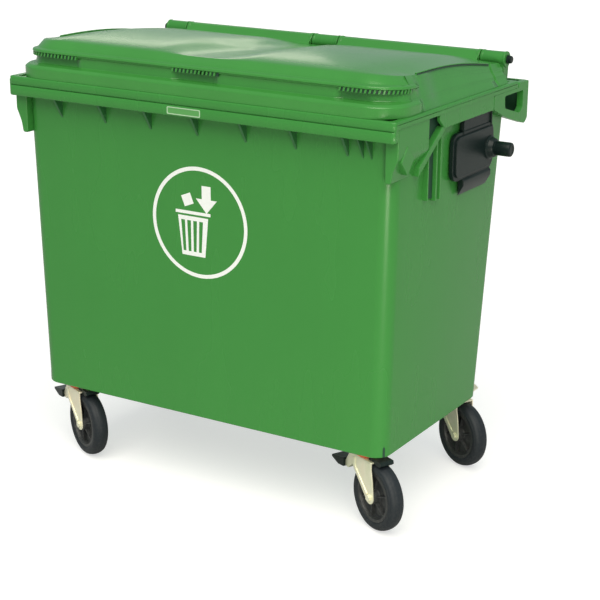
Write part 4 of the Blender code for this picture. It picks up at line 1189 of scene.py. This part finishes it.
class CONTAINER_OT_stage(bpy.types.Operator):
    """Adds a pale floor, a pale world, soft lights and the camera"""
    bl_idname = "container.stage"
    bl_label = "Stage"

    def execute(self, context):
        self.floor()
        self.world(context)
        self.lights()
        self.camera(context)
        context.scene.view_settings.view_transform = "Standard"
        return {"FINISHED"}

    def floor(self):
        """A wide pale floor that glows a little only where it is seen."""
        bm = bmesh.new()
        bmesh.ops.create_grid(bm, x_segments=1, y_segments=1, size=30.0)
        mesh = bpy.data.meshes.new("floor")
        bm.to_mesh(mesh)
        bm.free()
        made, tree, shader = start_material("pale_floor", Roughness=0.9)
        shader.inputs["Base Color"].default_value = (0.56, 0.56, 0.56, 1)
        shader.inputs["Specular IOR Level"].default_value = 0.1
        shader.inputs["Emission Color"].default_value = (1, 1, 1, 1)
        path = add_node(tree, "ShaderNodeLightPath")
        glow = add_math(tree, "MULTIPLY", path.outputs["Is Camera Ray"], FLOOR_GLOW)
        tree.links.new(glow, shader.inputs["Emission Strength"])
        mesh.materials.append(made)
        floor = bpy.data.objects.new("floor", mesh)
        bpy.context.scene.collection.objects.link(floor)

    def world(self, context):
        """White where it is seen, cooler and dimmer where it lights."""
        world = bpy.data.worlds.new("pale_world")
        world.use_nodes = True
        tree = world.node_tree
        fill = tree.nodes["Background"]
        fill.inputs["Color"].default_value = (0.86, 0.97, 1.0, 1)
        fill.inputs["Strength"].default_value = FILL_STRENGTH
        seen = add_node(tree, "ShaderNodeBackground", Strength=1.0)
        seen.inputs["Color"].default_value = (1, 1, 1, 1)
        path = add_node(tree, "ShaderNodeLightPath")
        mix = add_node(tree, "ShaderNodeMixShader", [(0, path.outputs["Is Camera Ray"]),
                                                     (1, fill.outputs[0]), (2, seen.outputs[0])])
        tree.links.new(mix.outputs[0], tree.nodes["World Output"].inputs["Surface"])
        context.scene.world = world

    def lights(self):
        """One broad warm sun from the right, and two soft boxes for long highlights."""
        sun = bpy.data.lights.new("soft_sun", "SUN")
        sun.energy = SUN_POWER
        sun.angle = SUN_ANGLE
        sun.color = (1.0, 0.95, 0.84)
        self.place_light(sun, SUN_SPOT, (0, 0, 0))
        for name, spot, target, width, height, power in SOFT_BOXES:
            lamp = bpy.data.lights.new(name, "AREA")
            lamp.shape = "RECTANGLE"
            lamp.size, lamp.size_y = width, height
            lamp.energy = power
            lamp.color = (1.0, 0.94, 0.80)
            self.place_light(lamp, spot, target)

    def place_light(self, lamp, spot, target):
        light = bpy.data.objects.new(lamp.name, lamp)
        light.location = spot
        aim = Vector(target) - Vector(spot)
        light.rotation_euler = aim.to_track_quat("-Z", "Y").to_euler()
        bpy.context.scene.collection.objects.link(light)

    def camera(self, context):
        lens = bpy.data.cameras.new("camera")
        lens.sensor_width = 36.0
        lens.lens = CAMERA_LENS
        lens.shift_x, lens.shift_y = CAMERA_SHIFT
        camera = bpy.data.objects.new("camera", lens)
        turn = Matrix.Rotation(CAMERA_YAW, 4, "Z")
        turn @= Matrix.Rotation(math.pi / 2 - CAMERA_PITCH, 4, "X")
        camera.matrix_world = (Matrix.Translation(CAMERA_SPOT) @ turn
                               @ Matrix.Rotation(CAMERA_ROLL, 4, "Z"))
        bpy.context.scene.collection.objects.link(camera)
        context.scene.camera = camera


# ---------------------------------------------------------------- panel and registration
PIECES = (CONTAINER_OT_tub, CONTAINER_OT_fittings, CONTAINER_OT_mark, CONTAINER_OT_lid,
          CONTAINER_OT_castors, CONTAINER_OT_stage)


class CONTAINER_PT_panel(bpy.types.Panel):
    """Lists the settings and the pieces"""
    bl_idname = "CONTAINER_PT_panel"
    bl_label = "Waste Container"
    bl_space_type = "VIEW_3D"
    bl_region_type = "UI"
    bl_category = "Container"

    def draw(self, context):
        for name in ContainerSettings.__annotations__:
            self.layout.prop(context.scene.waste_container, name)
        for piece in PIECES:
            self.layout.operator(piece.bl_idname)


CLASSES = (ContainerSettings, *PIECES, CONTAINER_PT_panel)


def register():
    for cls in CLASSES:
        bpy.utils.register_class(cls)
    bpy.types.Scene.waste_container = PointerProperty(type=ContainerSettings)


def unregister():
    del bpy.types.Scene.waste_container
    for cls in reversed(CLASSES):
        bpy.utils.unregister_class(cls)


def main():
    register()
    bpy.ops.container.tub()
    bpy.ops.container.fittings()
    bpy.ops.container.mark()
    bpy.ops.container.lid()
    bpy.ops.container.castors()
    bpy.ops.container.stage()


if __name__ == "__main__":
    main()
